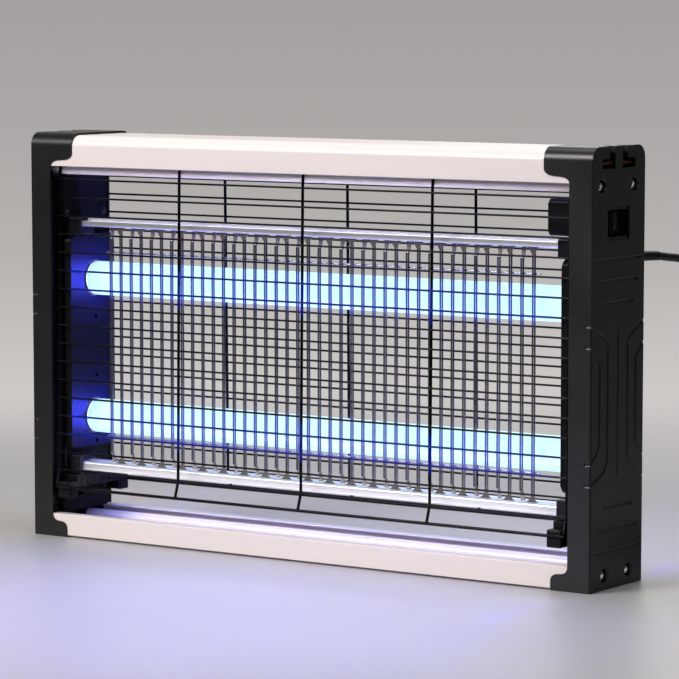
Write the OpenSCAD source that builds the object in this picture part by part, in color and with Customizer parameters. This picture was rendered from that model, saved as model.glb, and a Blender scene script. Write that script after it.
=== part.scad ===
// Electric bug zapper: two moulded end caps joined by an upper and a lower aluminium
// rail, two ultraviolet tubes, one high-voltage wire grid and two hinged wire guards.
// X runs along the tubes, -Y is the front, Z is up; the origin is the middle of the base.

/* [Housing] */
// Overall length along X
length = 488; // [440:1:520]
// Overall depth along Y
depth = 72; // [70:1:76]
// Overall height
height = 305; // [303:1:308]
// Length of an end cap's body along X
cap_t = 18; // [18:0.5:19]
// Wall thickness of an end cap
cap_wall = 2.4; // [2:0.1:2.8]
// Radius of the cap's upper front and rear edges
cap_r = 9.3; // [8:0.1:10]
// How far an end cap's upper lobe reaches over the rail, past the cap's body
lobe_top = 20.5; // [16:0.5:24]
// How far an end cap's lower lobe reaches over the rail, past the cap's body
lobe_bottom = 13.5; // [10:0.5:16]

/* [Rails] */
// Wall thickness of the rails
rail_wall = 1.5; // [1.2:0.1:1.8]
// Height of the upper rail's lower flange edges
top_rail_low = 280.1; // [279:0.1:281]
// Height of the lower rail's upper edges
bottom_rail_high = 17.3; // [17:0.1:17.4]
// Spacing of the upper screw ports along Y
top_port_pitch = 44; // [43:0.5:45]
// Spacing of the lower screw ports along Y
bottom_port_pitch = 33; // [30:0.5:36]

/* [Lamps] */
// Radius of a T8 lamp
lamp_r = 12.75; // [12.7:0.05:12.85]
// Distance between the outer faces of a lamp's bases
lamp_length = 437.4; // [437:0.1:437.8]
// Depth position of both lamps
lamp_y = 4; // [3:0.5:5]
// Height of the upper lamp's axis
lamp_high = 194; // [190:1:196]
// Height of the lower lamp's axis
lamp_low = 89; // [86:1:92]

/* [Grid] */
// Number of wire runs
runs = 40; // [38:2:40]
// Spacing of the wire runs
run_pitch = 9.5; // [9:0.1:9.8]
// Depth position of the wire plane
grid_y = -14.5; // [-15:0.1:-14]
// Wire radius
grid_wire_r = 0.65; // [0.5:0.05:0.65]
// Half the distance between the two legs of a run
leg_half = 1.05; // [1:0.05:1.2]

/* [Guards] */
// Number of horizontal bars on a guard
bar_count = 17; // [15:1:17]
// Spacing of the bars
bar_pitch = 13.71; // [13.5:0.01:13.8]
// Radius of a bar
bar_r = 0.75; // [0.6:0.05:0.8]
// Radius of an upright
upright_r = 1.1; // [1:0.05:1.2]
// Radius of the frame rod
rod_r = 1.2; // [1.1:0.05:1.25]

/* [Switch] */
// Radius of the rocker's pivot pins
rocker_pin_r = 1.5; // [1.3:0.05:1.6]
// Angle between the rocker's middle and pressed positions
rocker_tilt = 10; // [8:0.5:10]

/* [Cord] */
// Radius of the mains cord
cord_r = 3.1; // [3:0.05:3.2]
// Mean radius of the stored coil
coil_r = 35; // [34:0.5:37]

/* [Hidden] */
round_n = 48;
slip = 0.05;                          // radial running clearance
cut = 1;                              // how far a cutting solid runs past a face

half_l = length / 2;
half_d = depth / 2;
cap_in = half_l - cap_t;              // inner edge of a cap's body
cap_back = half_l - cap_wall;         // inner face of a cap's side wall

// Rails: outer faces sit a lobe's thickness inside the caps
rail_d = half_d - 0.8;
rail_top = height - 1.7;
rail_r = cap_r - 0.8;
rail_end = cap_in + 6;
rail_floor = 1.1;
lip = 8.5;
rail_gap = 0.05;
top_port_z = 278;
top_port_r = 4.6;
bottom_port_z = 10.3;
bottom_port_r = 4.5;
port_hole_r = 1.75;
rib_t = 1.5;

// Inner covers: a flange in the cap's mouth, a raised wall and a lamp platform
cover_low = 17.5;
cover_high = 272;
cover_t = 2;
cover_rim = 4;
wall_x = cap_in - 4.5;
wall_half = 26.4;
platform_x = 214.4;
platform_low = 66;
platform_high = 227.5;
platform_r = 5;
lamp_hole_r = lamp_r + 1.15;
pocket_x = 198.4;
pocket_half = 18;
pocket_low = 242.7;
pocket_high = 268.2;

// Guards lean outward towards the bottom
first_bar_z = 270.1;
bar_lean = 3.06 / 238;
guard_y = 30.3;
guard_x = 222.5;
hinge_y = 30;
hinge_z = 283;
foot_rod_z = 37.5;
foot_rod_y = 34.7;
hinge_half = half_l - 9;
upright_x = [-110.6, 0, 110.6];
weld_gap = 0.05;

// Clips
clip_in = 209;
clip_low = 29.5;
clip_high = 42;
clip_foot = 1.5;
clip_bar_low = 37;
clip_bar_high = 46.8;

// Grid
run_low = 59;
run_high = 231.5;
inner_run_low = 63.5;
inner_run_high = 226.5;
grid_rail_x = 211;
insulator_in = 209;

// Switch
switch_z = 252.05;
rocker_x = 236.8;
rocker_half = 8.9;
well_half_y = 13.3;
well_half_z = 9.25;
frame_half_y = 14.6;
frame_half_z = 11.2;

// Hanger recess in each cap's top edge
hook_x = 237;
hook_low = 289.5;
hanger_pin_r = 1.5;

// Screws
screw_head_r = 3.9;
recess_r = 4.5;
recess_floor = half_l - 4;
cover_screw_y = 22;
cover_screw_z = [34, 244];

// Cord
cord_x = 235;
cord_z = 227;
sleeve_len = 35;
sleeve_tilt = 3;
coil_x = 262;
coil_y = 182;
coil_floor = 0.7;
CORD_ROUTE = [[235, 70.9, 225.2], [235, 84, 223.6], [235, 97, 222.2], [235, 109, 220],
    [234.5, 120.5, 214.5], [234, 130.5, 205], [233, 138, 191], [232, 142.5, 173],
    [231, 145.3, 149], [230, 147.7, 126], [229, 150, 103], [228, 152, 82], [227, 154.5, 62],
    [225.5, 158, 43], [224, 163, 27], [222.5, 169, 14.5], [221.4, 175.5, 7], [220.9, 183, 3.9]];
TAIL_ROUTE = [[303.2, 182, 10], [303.2, 171, 9.6], [303, 160, 8.6], [302.7, 149, 7.5],
    [302.5, 139, 7]];
plug_at = [302.5, 139, 7];

// ---- shape helpers ----

// Points of an arc in a plane, from angle a0 to a1
function arc(c, r, a0, a1, n = 8) =
    [for (i = [0:n]) let(a = a0 + (a1 - a0) * i / n) [c[0] + r * cos(a), c[1] + r * sin(a)]];

// Outline of an upright section with rounded upper corners
function arch(half, low, high, r) = concat([[-half, low], [half, low]],
    arc([half - r, high - r], r, 0, 90), arc([r - half, high - r], r, 90, 180));

// Rectangle outline with four rounded corners
function round_rect(half, low, high, r) = concat(
    arc([half - r, low + r], r, -90, 0), arc([half - r, high - r], r, 0, 90),
    arc([r - half, high - r], r, 90, 180), arc([r - half, low + r], r, 180, 270));

// Soft step from one corner to another, level at its start and upright at its end
function sweep_step(p, q, n = 10) =
    [for (i = [0:n]) let(t = i / n) [p[0] + (q[0] - p[0]) * (0.55 * t + 0.45 * sin(90 * t)),
        p[1] + (q[1] - p[1]) * (t * t * (3 - 2 * t))]];

// Band of width w along a polyline in a plane
function normal_at(p, i) = let(a = p[max(i - 1, 0)], b = p[min(i + 1, len(p) - 1)],
    d = norm(b - a)) [(a[1] - b[1]) / d, (b[0] - a[0]) / d];
function band(p, w) = concat([for (i = [0:len(p) - 1]) p[i] + normal_at(p, i) * w / 2],
    [for (i = [len(p) - 1:-1:0]) p[i] - normal_at(p, i) * w / 2]);

// Extrude a YZ outline along X from x0 to x1
module along_x(x0, x1) {
    translate([x0, 0, 0]) rotate([90, 0, 90]) linear_extrude(x1 - x0) children();
}

// Extrude an XZ outline along Y from y0 to y1
module along_y(y0, y1) {
    translate([0, y1, 0]) rotate([90, 0, 0]) linear_extrude(y1 - y0) children();
}

module box(lo, hi) { translate(lo) cube(hi - lo); }

module rod_x(x0, x1, y, z, r) {
    translate([x0, y, z]) rotate([0, 90, 0]) cylinder(r = r, h = x1 - x0, $fn = round_n);
}

// Straight rod between two points
module rod(a, b, r) {
    d = b - a;
    translate(a) rotate([0, acos(d[2] / norm(d)), atan2(d[1], d[0])])
        cylinder(r = r, h = norm(d), $fn = 24);
}

// Rods through a list of points, with ball joints at the corners
module wire(points, r) {
    for (i = [0:len(points) - 2]) rod(points[i], points[i + 1], r);
    for (i = [1:len(points) - 2]) translate(points[i]) sphere(r = r * 1.03, $fn = 24);
}

// Round tube swept along a route
function unit(v) = v / norm(v);
function along(p, i) = unit(p[min(i + 1, len(p) - 1)] - p[max(i - 1, 0)]);
function ring(p, i, r, sides) = let(t = along(p, i), u = unit(cross(t, [1, 0, 0])),
    v = cross(t, u)) [for (k = [0:sides - 1]) p[i] + r * (cos(360 * k / sides) * u
        + sin(360 * k / sides) * v)];
module sweep(p, r, sides = 12) {
    n = len(p);
    points = [for (i = [0:n - 1]) each ring(p, i, r, sides)];
    skin = [for (i = [0:n - 2], k = [0:sides - 1]) let(a = i * sides + k,
        b = i * sides + (k + 1) % sides) [a, b, b + sides, a + sides]];
    ends = [[for (k = [sides - 1:-1:0]) k], [for (k = [0:sides - 1]) (n - 1) * sides + k]];
    polyhedron(points = points, faces = concat(skin, ends), convexity = 6);
}

module left() { mirror([1, 0, 0]) children(); }
module rear() { mirror([0, 1, 0]) children(); }

// ---- end caps ----

// Side outline of a right-hand cap: the body with a lobe over each rail
function cap_outline() = concat(
    [[half_l, 0], [half_l, height], [cap_in - lobe_top, height], [cap_in - lobe_top, 290]],
    sweep_step([cap_in - lobe_top, 290], [cap_in, 279.5]),
    [for (p = sweep_step([cap_in - lobe_bottom, 6.8], [cap_in, 16.8]))
        [cap_in - (p[0] - cap_in + lobe_bottom), 23.6 - p[1]]],
    [[cap_in - lobe_bottom, 0]]);

module cap_section(inset) {
    polygon(arch(half_d - inset, inset, height - inset, cap_r - inset * 0.5));
}

// Curved bracket-shaped grooves on the cap's side face, for one side
function bracket(y, low, high, r, turn) = let(
    top = arc([y + r, high], r, 180, 180 - turn, 6),
    bottom = arc([y + r, low], r, 180 + turn, 180, 6),
    run = half_d + 1 - top[6][0], rise = run * tan(90 - turn))
    concat([[half_d + 1, bottom[0][1] - rise]], bottom, top, [[half_d + 1, top[6][1] + rise]]);

module side_grooves() {
    along_x(half_l - 0.8, half_l + cut) {
        for (row = [[227.5, 30], [213.1, 25.5], [197.9, 19.5], [57.2, 20], [41.9, 27],
                [26.5, 30]])
            translate([-row[1], row[0] - 1.7]) square([2 * row[1], 3.4]);
        translate([-0.8, 75.3]) square([1.6, 104.7]);
        for (s = [0, 1]) mirror([s, 0]) {
            polygon(band(bracket(13.6, 92, 165, 12, 66), 1.8));
            polygon(band(bracket(24.6, 101, 156, 5, 50), 1.8));
        }
    }
}

// One half of the hanger recess
module hanger_outline() {
    polygon([[5, height + cut], [5, hook_low], [22.5, hook_low + 0.5], [22.5, 296.5],
        [12.5, 296.5], [12.5, height + cut]]);
}

module cap_bosses() {
    for (s = [-1, 1]) {
        rod_x(rail_end + rail_gap, cap_back + 0.5, s * top_port_pitch / 2, top_port_z, 6);
        rod_x(rail_end + rail_gap, cap_back + 0.5, s * bottom_port_pitch / 2, bottom_port_z, 6);
        rod_x(rail_end + rail_gap, cap_back + 0.5, s * hinge_y, hinge_z, 3);
        for (z = cover_screw_z) rod_x(cap_in + 3, cap_back + 0.5, s * cover_screw_y, z, 3.5);
    }
}

module end_cap(switch_side) {
    difference() {
        union() {
            difference() {
                intersection() {
                    along_y(-half_d, half_d) polygon(cap_outline());
                    along_x(0, half_l) polygon(arch(half_d, 0, height, cap_r));
                }
                along_x(0, cap_back) cap_section(cap_wall);
                along_x(0, rail_end + rail_gap)
                    polygon(arch(rail_d + rail_gap, 270, rail_top + rail_gap, rail_r));
                box([0, -rail_d - rail_gap, rail_floor - rail_gap],
                    [rail_end + rail_gap, rail_d + rail_gap, 25]);
            }
            cap_bosses();
            box([hook_x - 2.4, -25, 287], [cap_back + 0.5, 25, height - cap_wall + 0.5]);
        }
        side_grooves();
        for (s = [-1, 1]) {
            for (port = [[top_port_pitch / 2, top_port_z], [bottom_port_pitch / 2,
                    bottom_port_z]]) {
                rod_x(rail_end - 1, half_l + cut, s * port[0], port[1], 2.2);
                rod_x(recess_floor, half_l + cut, s * port[0], port[1], recess_r);
            }
            rod_x(rail_end - 1, hinge_half + 0.5, s * hinge_y, hinge_z, rod_r + slip);
            for (z = cover_screw_z) rod_x(cap_in, cap_back - 3, s * cover_screw_y, z, 1.55);
        }
        along_x(hook_x, half_l + cut) {
            hanger_outline();
            mirror([1, 0]) hanger_outline();
        }
        translate([half_l - 3.5, 21, 293.2]) rotate([90, 0, 0])
            cylinder(r = hanger_pin_r + slip, h = 42, $fn = round_n);
        if (switch_side) {
            box([cap_back - 1, -frame_half_y - 0.1, switch_z - frame_half_z - 0.1],
                [half_l + cut, frame_half_y + 0.1, switch_z + frame_half_z + 0.1]);
            translate([cord_x, half_d + cut, cord_z]) rotate([90, 0, 0])
                cylinder(r = 3.9, h = 6, $fn = round_n);
        }
    }
}

module right_end_cap() { color([0.05, 0.05, 0.055]) end_cap(true); }
module left_end_cap() { color([0.05, 0.05, 0.055]) left() end_cap(false); }

// Steel pins that a hanging chain's hooks go round, one in each recess
module hanger_pins() {
    color([0.55, 0.3, 0.22]) for (s = [-1, 1])
        translate([s * (half_l - 3.5), 20.5, 293.2]) rotate([90, 0, 0])
            cylinder(r = hanger_pin_r, h = 41, $fn = round_n);
}

// ---- inner covers ----

module inner_cover(switch_side) {
    difference() {
        union() {
            box([cap_in, -half_d + cap_wall + 0.2, cover_low],
                [cap_in + cover_t, half_d - cap_wall - 0.2, cover_high]);
            box([wall_x, -wall_half, cover_low], [cap_in + 0.5, wall_half, cover_high]);
            along_x(platform_x, wall_x + 0.5)
                polygon(round_rect(wall_half, platform_low, platform_high, platform_r));
            if (switch_side) along_x(pocket_x, wall_x + 0.5)
                polygon(round_rect(pocket_half, pocket_low, pocket_high, 3));
        }
        box([wall_x + cover_t, -wall_half + cover_t, cover_low + cover_t],
            [cap_in + 5, wall_half - cover_t, cover_high - cover_t]);
        along_x(platform_x + cover_t, cap_in + 5)
            polygon(round_rect(wall_half - cover_t, platform_low + cover_t,
                platform_high - cover_t, platform_r - cover_t));
        for (z = [lamp_low, lamp_high])
            rod_x(platform_x - cut, platform_x + 5, lamp_y, z, lamp_hole_r);
        for (z = [70, 120, 165]) rod_x(platform_x - cut, platform_x + 5, lamp_y, z, 1.6);
        for (s = [-1, 1], z = cover_screw_z)
            rod_x(wall_x - cut, cap_in, s * cover_screw_y, z, 1.6);
        box([wall_x - cut, -11.5, 28], [wall_x + 3, -4.5, 31.2]);
        if (switch_side) along_x(pocket_x + cover_t, cap_in + 5)
            polygon(round_rect(pocket_half - cover_t, pocket_low + cover_t,
                pocket_high - cover_t, 1.5));
    }
}

module right_inner_cover() { color([0.07, 0.07, 0.12]) inner_cover(true); }
module left_inner_cover() { color([0.07, 0.07, 0.12]) left() inner_cover(false); }

// ---- rails ----

module top_rail() {
    color([0.92, 0.88, 0.86]) difference() {
        union() {
            along_x(-rail_end, rail_end) difference() {
                polygon(arch(rail_d, top_rail_low, rail_top, rail_r));
                polygon(arch(rail_d - rail_wall, top_rail_low - cut, rail_top - rail_wall,
                    rail_r - rail_wall));
            }
            for (s = [-1, 1]) {
                y = s * top_port_pitch / 2;
                box([-rail_end, y - rib_t / 2, top_port_z], [rail_end, y + rib_t / 2,
                    rail_top - rail_wall / 2]);
                rod_x(-rail_end, rail_end, y, top_port_z, top_port_r);
            }
        }
        for (s = [-1, 1]) rod_x(-half_l, half_l, s * top_port_pitch / 2, top_port_z, port_hole_r);
    }
}

module bottom_rail() {
    color([0.92, 0.88, 0.86]) difference() {
        union() {
            along_x(-rail_end, rail_end) polygon([[-rail_d, rail_floor], [rail_d, rail_floor],
                [rail_d, bottom_rail_high], [rail_d - lip, bottom_rail_high],
                [rail_d - lip, bottom_rail_high - rail_wall],
                [rail_d - rail_wall, bottom_rail_high - rail_wall],
                [rail_d - rail_wall, rail_floor + rail_wall],
                [rail_wall - rail_d, rail_floor + rail_wall],
                [rail_wall - rail_d, bottom_rail_high - rail_wall],
                [lip - rail_d, bottom_rail_high - rail_wall],
                [lip - rail_d, bottom_rail_high], [-rail_d, bottom_rail_high]]);
            for (s = [-1, 1]) {
                y = s * bottom_port_pitch / 2;
                box([-rail_end, y - rib_t / 2, rail_floor + 0.5], [rail_end, y + rib_t / 2,
                    bottom_port_z]);
                rod_x(-rail_end, rail_end, y, bottom_port_z, bottom_port_r);
            }
        }
        for (s = [-1, 1])
            rod_x(-half_l, half_l, s * bottom_port_pitch / 2, bottom_port_z, port_hole_r);
    }
}

// ---- guard clips ----

// Front right clip: a bar on the inner cover whose head has a slot, open outward, for the guard
module clip() {
    color([0.04, 0.04, 0.045]) difference() {
        union() {
            box([clip_in, -half_d, clip_low], [wall_x - 0.6, -wall_half - 0.3, clip_high]);
            box([clip_in, -wall_half - 0.5, clip_low], [wall_x, -wall_half + clip_foot, clip_high]);
            box([clip_in, -wall_half - 0.5, clip_bar_low], [wall_x, -0.1, clip_bar_high]);
        }
        box([clip_in - cut, -half_d - cut, foot_rod_z - rod_r - 0.4],
            [wall_x + cut, -foot_rod_y + rod_r + 0.4, foot_rod_z + rod_r + 0.4]);
    }
}

module front_right_clip() { clip(); }
module front_left_clip() { left() clip(); }
module rear_right_clip() { rear() clip(); }
module rear_left_clip() { left() rear() clip(); }

// ---- high-voltage grid ----

function run_x(i) = (i - (runs - 1) / 2) * run_pitch;

// Rail with a tab at each run of one electrode; the tabs narrow away from the rail
module grid_rail(y0, y1, z0, z1, first, tip_z, tip_half, tab_y) {
    box([-grid_rail_x, y0, z0], [grid_rail_x, y1, z1]);
    base_z = tip_z > z1 ? z1 - 0.5 : z0 + 0.5;
    along_y(tab_y, tab_y + 1) for (i = [first:2:runs - 1]) translate([run_x(i), 0])
        polygon([[-4.6, base_z], [4.6, base_z], [tip_half, tip_z], [-tip_half, tip_z]]);
}

module outer_grid_top_rail() {
    color([0.72, 0.72, 0.76]) grid_rail(-20, -15.3, 234.5, 238.6, 1, 229.6, 2.1, -16.3);
}
module outer_grid_bottom_rail() {
    color([0.72, 0.72, 0.76]) grid_rail(-20, -15.3, 50, 56.5, 1, 60, 1.4, -16.3);
}
module inner_grid_top_rail() {
    color([0.72, 0.72, 0.76]) grid_rail(-12.6, -6, 235, 240.5, 0, 224.5, 1.8, -12.6);
}
module inner_grid_bottom_rail() {
    color([0.72, 0.72, 0.76]) grid_rail(-12.6, -6, 50, 57, 0, 65.5, 1.8, -12.6);
}

// Hairpins of one electrode: two legs joined at both ends
module hairpins(first, low, high) {
    for (i = [first:2:runs - 1]) translate([run_x(i), grid_y, 0]) {
        for (s = [-1, 1]) translate([s * leg_half, 0, low])
            cylinder(r = grid_wire_r, h = high - low, $fn = 24);
        for (z = [low + grid_wire_r, high - grid_wire_r])
            rod_x(-leg_half, leg_half, 0, z, grid_wire_r * 0.9);
    }
}

module outer_grid_wires() { color([0.7, 0.7, 0.75]) hairpins(1, run_low, run_high); }
module inner_grid_wires() { color([0.7, 0.7, 0.75]) hairpins(0, inner_run_low, inner_run_high); }

module grid_cross_rods() {
    color([0.7, 0.7, 0.75]) for (z = [76.6, 215.4]) rod_x(-190, 190, -12.9, z, 0.7);
}

// Insulator that holds both rails' ends
module insulator(low, high, z_rails) {
    color([0.1, 0.1, 0.13]) difference() {
        box([insulator_in, -23, low], [wall_x, -4, high]);
        for (r = z_rails) box([insulator_in - cut, r[0] - 0.1, r[2] - 0.1],
            [grid_rail_x + 0.2, r[1] + 0.1, r[3] + 0.1]);
    }
}

top_rails = [[-20, -15.3, 234.5, 238.6], [-12.6, -6, 235, 240.5]];
bottom_rails = [[-20, -15.3, 50, 56.5], [-12.6, -6, 50, 57]];
module top_right_insulator() { insulator(228.3, 241.2, top_rails); }
module top_left_insulator() { left() insulator(228.3, 241.2, top_rails); }
module bottom_right_insulator() { insulator(47, 61, bottom_rails); }
module bottom_left_insulator() { left() insulator(47, 61, bottom_rails); }

// ---- lamps ----

module lamp_glass(z) {
    color([0.75, 0.95, 1]) difference() {
        rod_x(-lamp_length / 2 + 5, lamp_length / 2 - 5, lamp_y, z, lamp_r);
        rod_x(-lamp_length / 2, lamp_length / 2, lamp_y, z, lamp_r - 0.8);
    }
}

module lamp_bases(z) {
    color([0.8, 0.8, 0.82]) for (s = [-1, 1]) {
        x = s * (lamp_length / 2 - 2.5);
        rod_x(x - 2.5, x + 2.5, lamp_y, z, lamp_r + 0.1);
        for (d = [-6.35, 6.35]) rod_x(x + (s > 0 ? 2 : -9), x + (s > 0 ? 9 : -2), lamp_y, z + d,
            1.175);
    }
}

module upper_lamp_glass() { lamp_glass(lamp_high); }
module upper_lamp_bases() { lamp_bases(lamp_high); }
module lower_lamp_glass() { lamp_glass(lamp_low); }
module lower_lamp_bases() { lamp_bases(lamp_low); }

module lampholder(z) {
    color([0.9, 0.9, 0.88]) difference() {
        union() {
            box([platform_x + cover_t, lamp_y - 17, z - 17], [219.2, lamp_y + 17, z + 17]);
            box([219, lamp_y - 9, z - 13], [227.2, lamp_y + 9, z + 13]);
        }
        rod_x(platform_x, 218.9, lamp_y, z, lamp_hole_r);
        for (d = [-6.35, 6.35]) rod_x(218, 226.4, lamp_y, z + d, 1.3);
    }
}

module upper_right_lampholder() { lampholder(lamp_high); }
module upper_left_lampholder() { left() lampholder(lamp_high); }
module lower_right_lampholder() { lampholder(lamp_low); }
module lower_left_lampholder() { left() lampholder(lamp_low); }

// ---- electrical parts in the right cap ----

board_x = 237.6;
module circuit_board() {
    color([0.1, 0.35, 0.15]) difference() {
        box([board_x, -27, 107], [board_x + 1.6, 27, 177]);
        for (y = [-24, 24], z = [110, 174]) rod_x(board_x - cut, board_x + 3, y, z, 1.6);
    }
}
module hv_transformer() {
    color([0.75, 0.65, 0.2]) {
        difference() {
            box([board_x - 12, -24, 112], [board_x, -4, 134]);
            box([board_x - 13, -20, 116], [board_x - 2, -8, 119]);
            box([board_x - 13, -20, 127], [board_x - 2, -8, 130]);
        }
    }
}
module multiplier_capacitors() {
    color([0.1, 0.25, 0.6]) for (k = [0:3])
        translate([board_x - 10, 4 + 6 * k, 118]) rotate([90, 0, 0])
            translate([0, 0, -2]) cylinder(r = 5, h = 4, $fn = round_n);
    color([0.7, 0.7, 0.7]) for (k = [0:3])
        rod_x(board_x - 6, board_x, 4 + 6 * k, 118, 0.5);
}
module filter_capacitor() {
    color([0.12, 0.12, 0.2]) rod_x(board_x - 11.5, board_x, -14, 152, 8);
}
module lamp_driver_board() {
    color([0.1, 0.35, 0.15]) box([board_x, -27, 40], [board_x + 1.6, 27, 71]);
}
module lamp_choke() {
    color([0.85, 0.8, 0.3]) difference() {
        box([board_x - 11, -10, 46], [board_x, 10, 64]);
        box([board_x - 12, -6, 43], [board_x - 3, 6, 50]);
        box([board_x - 12, -6, 60], [board_x - 3, 6, 67]);
    }
}
module fuse() {
    color([0.8, 0.8, 0.8]) translate([board_x - 2.6, 12, 150]) cylinder(r = 2.6, h = 20, $fn = 32);
}
module terminal_block() {
    color([0.92, 0.92, 0.9]) difference() {
        box([229, -14, 212], [239, 12, 224]);
        for (y = [-9.5, -1, 7.5]) {
            translate([234, y, 205]) cylinder(r = 1.6, h = 30, $fn = 24);
            rod_x(220, 234, y, 218, 1.5);
        }
    }
}
// Insulated leads: two along the upper rail to the far lamp, two to the grid
module wiring_harness() {
    color([0.75, 0.1, 0.1]) for (s = [-1, 1])
        wire([[-232, s * 6, 270], [-232, s * 6, 283], [-205, s * 8, 293], [205, s * 8, 293],
            [229, s * 6, 283], [230, s * 6, 268.4]], 1.1);
    color([0.9, 0.85, 0.2]) for (z = [66, 230])
        wire([[232, -25.2, 109], [232, -25.2, z > 100 ? z - 3 : z + 3], [224.2, -20, z]], 1.2);
}

// ---- switch ----

module rocker_switch_frame() {
    color([0.03, 0.03, 0.03]) difference() {
        union() {
            box([229, -frame_half_y, switch_z - frame_half_z],
                [half_l - 0.8, frame_half_y, switch_z + frame_half_z]);
            box([203, -12.5, 245.1], [229.5, 12.5, 259]);
        }
        box([231.5, -well_half_y, switch_z - well_half_z],
            [half_l + cut, well_half_y, switch_z + well_half_z]);
        translate([rocker_x, 0, switch_z - frame_half_z - cut])
            cylinder(r = rocker_pin_r + slip, h = 2 * (frame_half_z + cut), $fn = round_n);
    }
}

// Rocker with two sloping halves, pressed at the rear
module rocker_button() {
    color([0.06, 0.06, 0.06]) translate([rocker_x, 0, switch_z]) rotate([0, 0, rocker_tilt]) {
        translate([0, 0, -rocker_half]) linear_extrude(2 * rocker_half)
            polygon([[-3.5, -8], [4.6, -12.2], [2.4, 0], [4.6, 12.2], [-3.5, 8]]);
        translate([0, 0, -rocker_half - 1.5])
            cylinder(r = rocker_pin_r, h = 2 * rocker_half + 3, $fn = round_n);
    }
}

// ---- screws ----

module cap_screws() {
    color([0.85, 0.85, 0.85]) for (s = [-1, 1], port = [[top_port_pitch / 2, top_port_z],
            [bottom_port_pitch / 2, bottom_port_z]]) {
        y = s * port[0];
        difference() {
            rod_x(recess_floor, half_l - 1, y, port[1], screw_head_r);
            box([half_l - 2, y - 2.6, port[1] - 0.5], [half_l, y + 2.6, port[1] + 0.5]);
            box([half_l - 2, y - 0.5, port[1] - 2.6], [half_l, y + 0.5, port[1] + 2.6]);
        }
        rod_x(rail_end - 12, recess_floor + 0.5, y, port[1], port_hole_r - slip);
    }
}
module right_cap_screws() { cap_screws(); }
module left_cap_screws() { left() cap_screws(); }

module cover_screws() {
    color([0.85, 0.85, 0.85]) for (s = [-1, 1], z = cover_screw_z) {
        rod_x(wall_x - 1.2, wall_x, s * cover_screw_y, z, 2.6);
        rod_x(wall_x - 0.5, wall_x + 14, s * cover_screw_y, z, 1.5);
    }
}
module right_cover_screws() { cover_screws(); }
module left_cover_screws() { left() cover_screws(); }

// ---- cord and plug ----

module cord_strain_relief() {
    color([0.05, 0.05, 0.05]) {
        translate([cord_x, half_d + 0.5, cord_z]) rotate([90, 0, 0])
            cylinder(r = 3.8, h = 7, $fn = round_n);
        translate([cord_x, half_d - cap_wall - 0.1, cord_z]) rotate([90, 0, 0])
            cylinder(r = 6, h = 2.5, $fn = round_n);
        translate([cord_x, half_d + 0.3, cord_z]) rotate([-90 - sleeve_tilt, 0, 0])
            cylinder(r1 = 3.75, r2 = 3.3, h = sleeve_len - 0.3, $fn = round_n);
    }
}
module power_cord() { color([0.12, 0.12, 0.12]) sweep(CORD_ROUTE, cord_r); }
module cord_coil() {
    color([0.12, 0.12, 0.12]) translate([coil_x, coil_y, coil_floor]) rotate_extrude($fn = 96)
        translate([coil_r - 3 * cord_r, 0]) square([6 * cord_r, 4 * cord_r]);
}
// Strap round the coil's bundle
module coil_tie() {
    color([0.08, 0.08, 0.08]) translate([coil_x, coil_y, 0]) rotate([0, 0, 55])
        difference() {
            box([coil_r - 3 * cord_r - 0.9, -4, 0.05],
                [coil_r + 3 * cord_r + 0.9, 4, coil_floor + 4 * cord_r + 0.7]);
            translate([0, 0, coil_floor - 0.1]) rotate_extrude($fn = 96)
                translate([coil_r - 3 * cord_r - 0.1, 0])
                    square([6 * cord_r + 0.2, 4 * cord_r + 0.2]);
        }
}
module cord_tail() { color([0.12, 0.12, 0.12]) sweep(TAIL_ROUTE, cord_r); }

// Flat two-pin plug lying on the surface, its cord entry towards the coil
module plug_body() {
    color([0.05, 0.05, 0.05]) translate(plug_at) rotate([90, 0, 0]) linear_extrude(10)
        circle(r = 4.2, $fn = round_n);
    color([0.05, 0.05, 0.05]) translate([plug_at[0], plug_at[1] - 9, plug_at[2] - 6.9])
        linear_extrude(13.8) polygon([[-6, 0], [6, 0], [17.5, -14], [17.5, -27], [-17.5, -27],
            [-17.5, -14]]);
}
module plug_pins() {
    color([0.8, 0.7, 0.4]) for (s = [-1, 1])
        translate([plug_at[0] + s * 9.3, plug_at[1] - 36, plug_at[2]]) rotate([90, 0, 0])
            cylinder(r = 2, h = 19, $fn = round_n);
}

// ---- guards ----

function lean_y(z) = guard_y + bar_lean * (first_bar_z - z);   // distance of the bars from y = 0

// Path of a rod behind the bars, from the hinge rod down to the foot rod
function stay(x, r) = let(back = bar_r + r + weld_gap, pin = rod_r + r + weld_gap)
    [[x, pin - hinge_y, hinge_z + 1], [x, back - lean_y(270), 272],
        [x, back - lean_y(52), 52], [x, pin - foot_rod_y, foot_rod_z - 1]];

module guard_frame() {
    color([0.03, 0.03, 0.035]) {
        rod_x(-hinge_half, hinge_half, -hinge_y, hinge_z, rod_r);
        rod_x(-guard_x - rod_r, guard_x + rod_r, -foot_rod_y, foot_rod_z, rod_r);
        for (s = [-1, 1]) wire(stay(s * guard_x, rod_r), rod_r);
    }
}
module guard_bars() {
    color([0.03, 0.03, 0.035]) for (k = [0:bar_count - 1]) let(z = first_bar_z - k * bar_pitch)
        rod_x(-guard_x - 1, guard_x + 1, -lean_y(z), z, bar_r);
}
module guard_uprights() {
    color([0.03, 0.03, 0.035]) for (x = upright_x) wire(stay(x, upright_r), upright_r);
}

module front_guard_frame() { guard_frame(); }
module front_guard_bars() { guard_bars(); }
module front_guard_uprights() { guard_uprights(); }
module rear_guard_frame() { rear() guard_frame(); }
module rear_guard_bars() { rear() guard_bars(); }
module rear_guard_uprights() { rear() guard_uprights(); }

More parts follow.
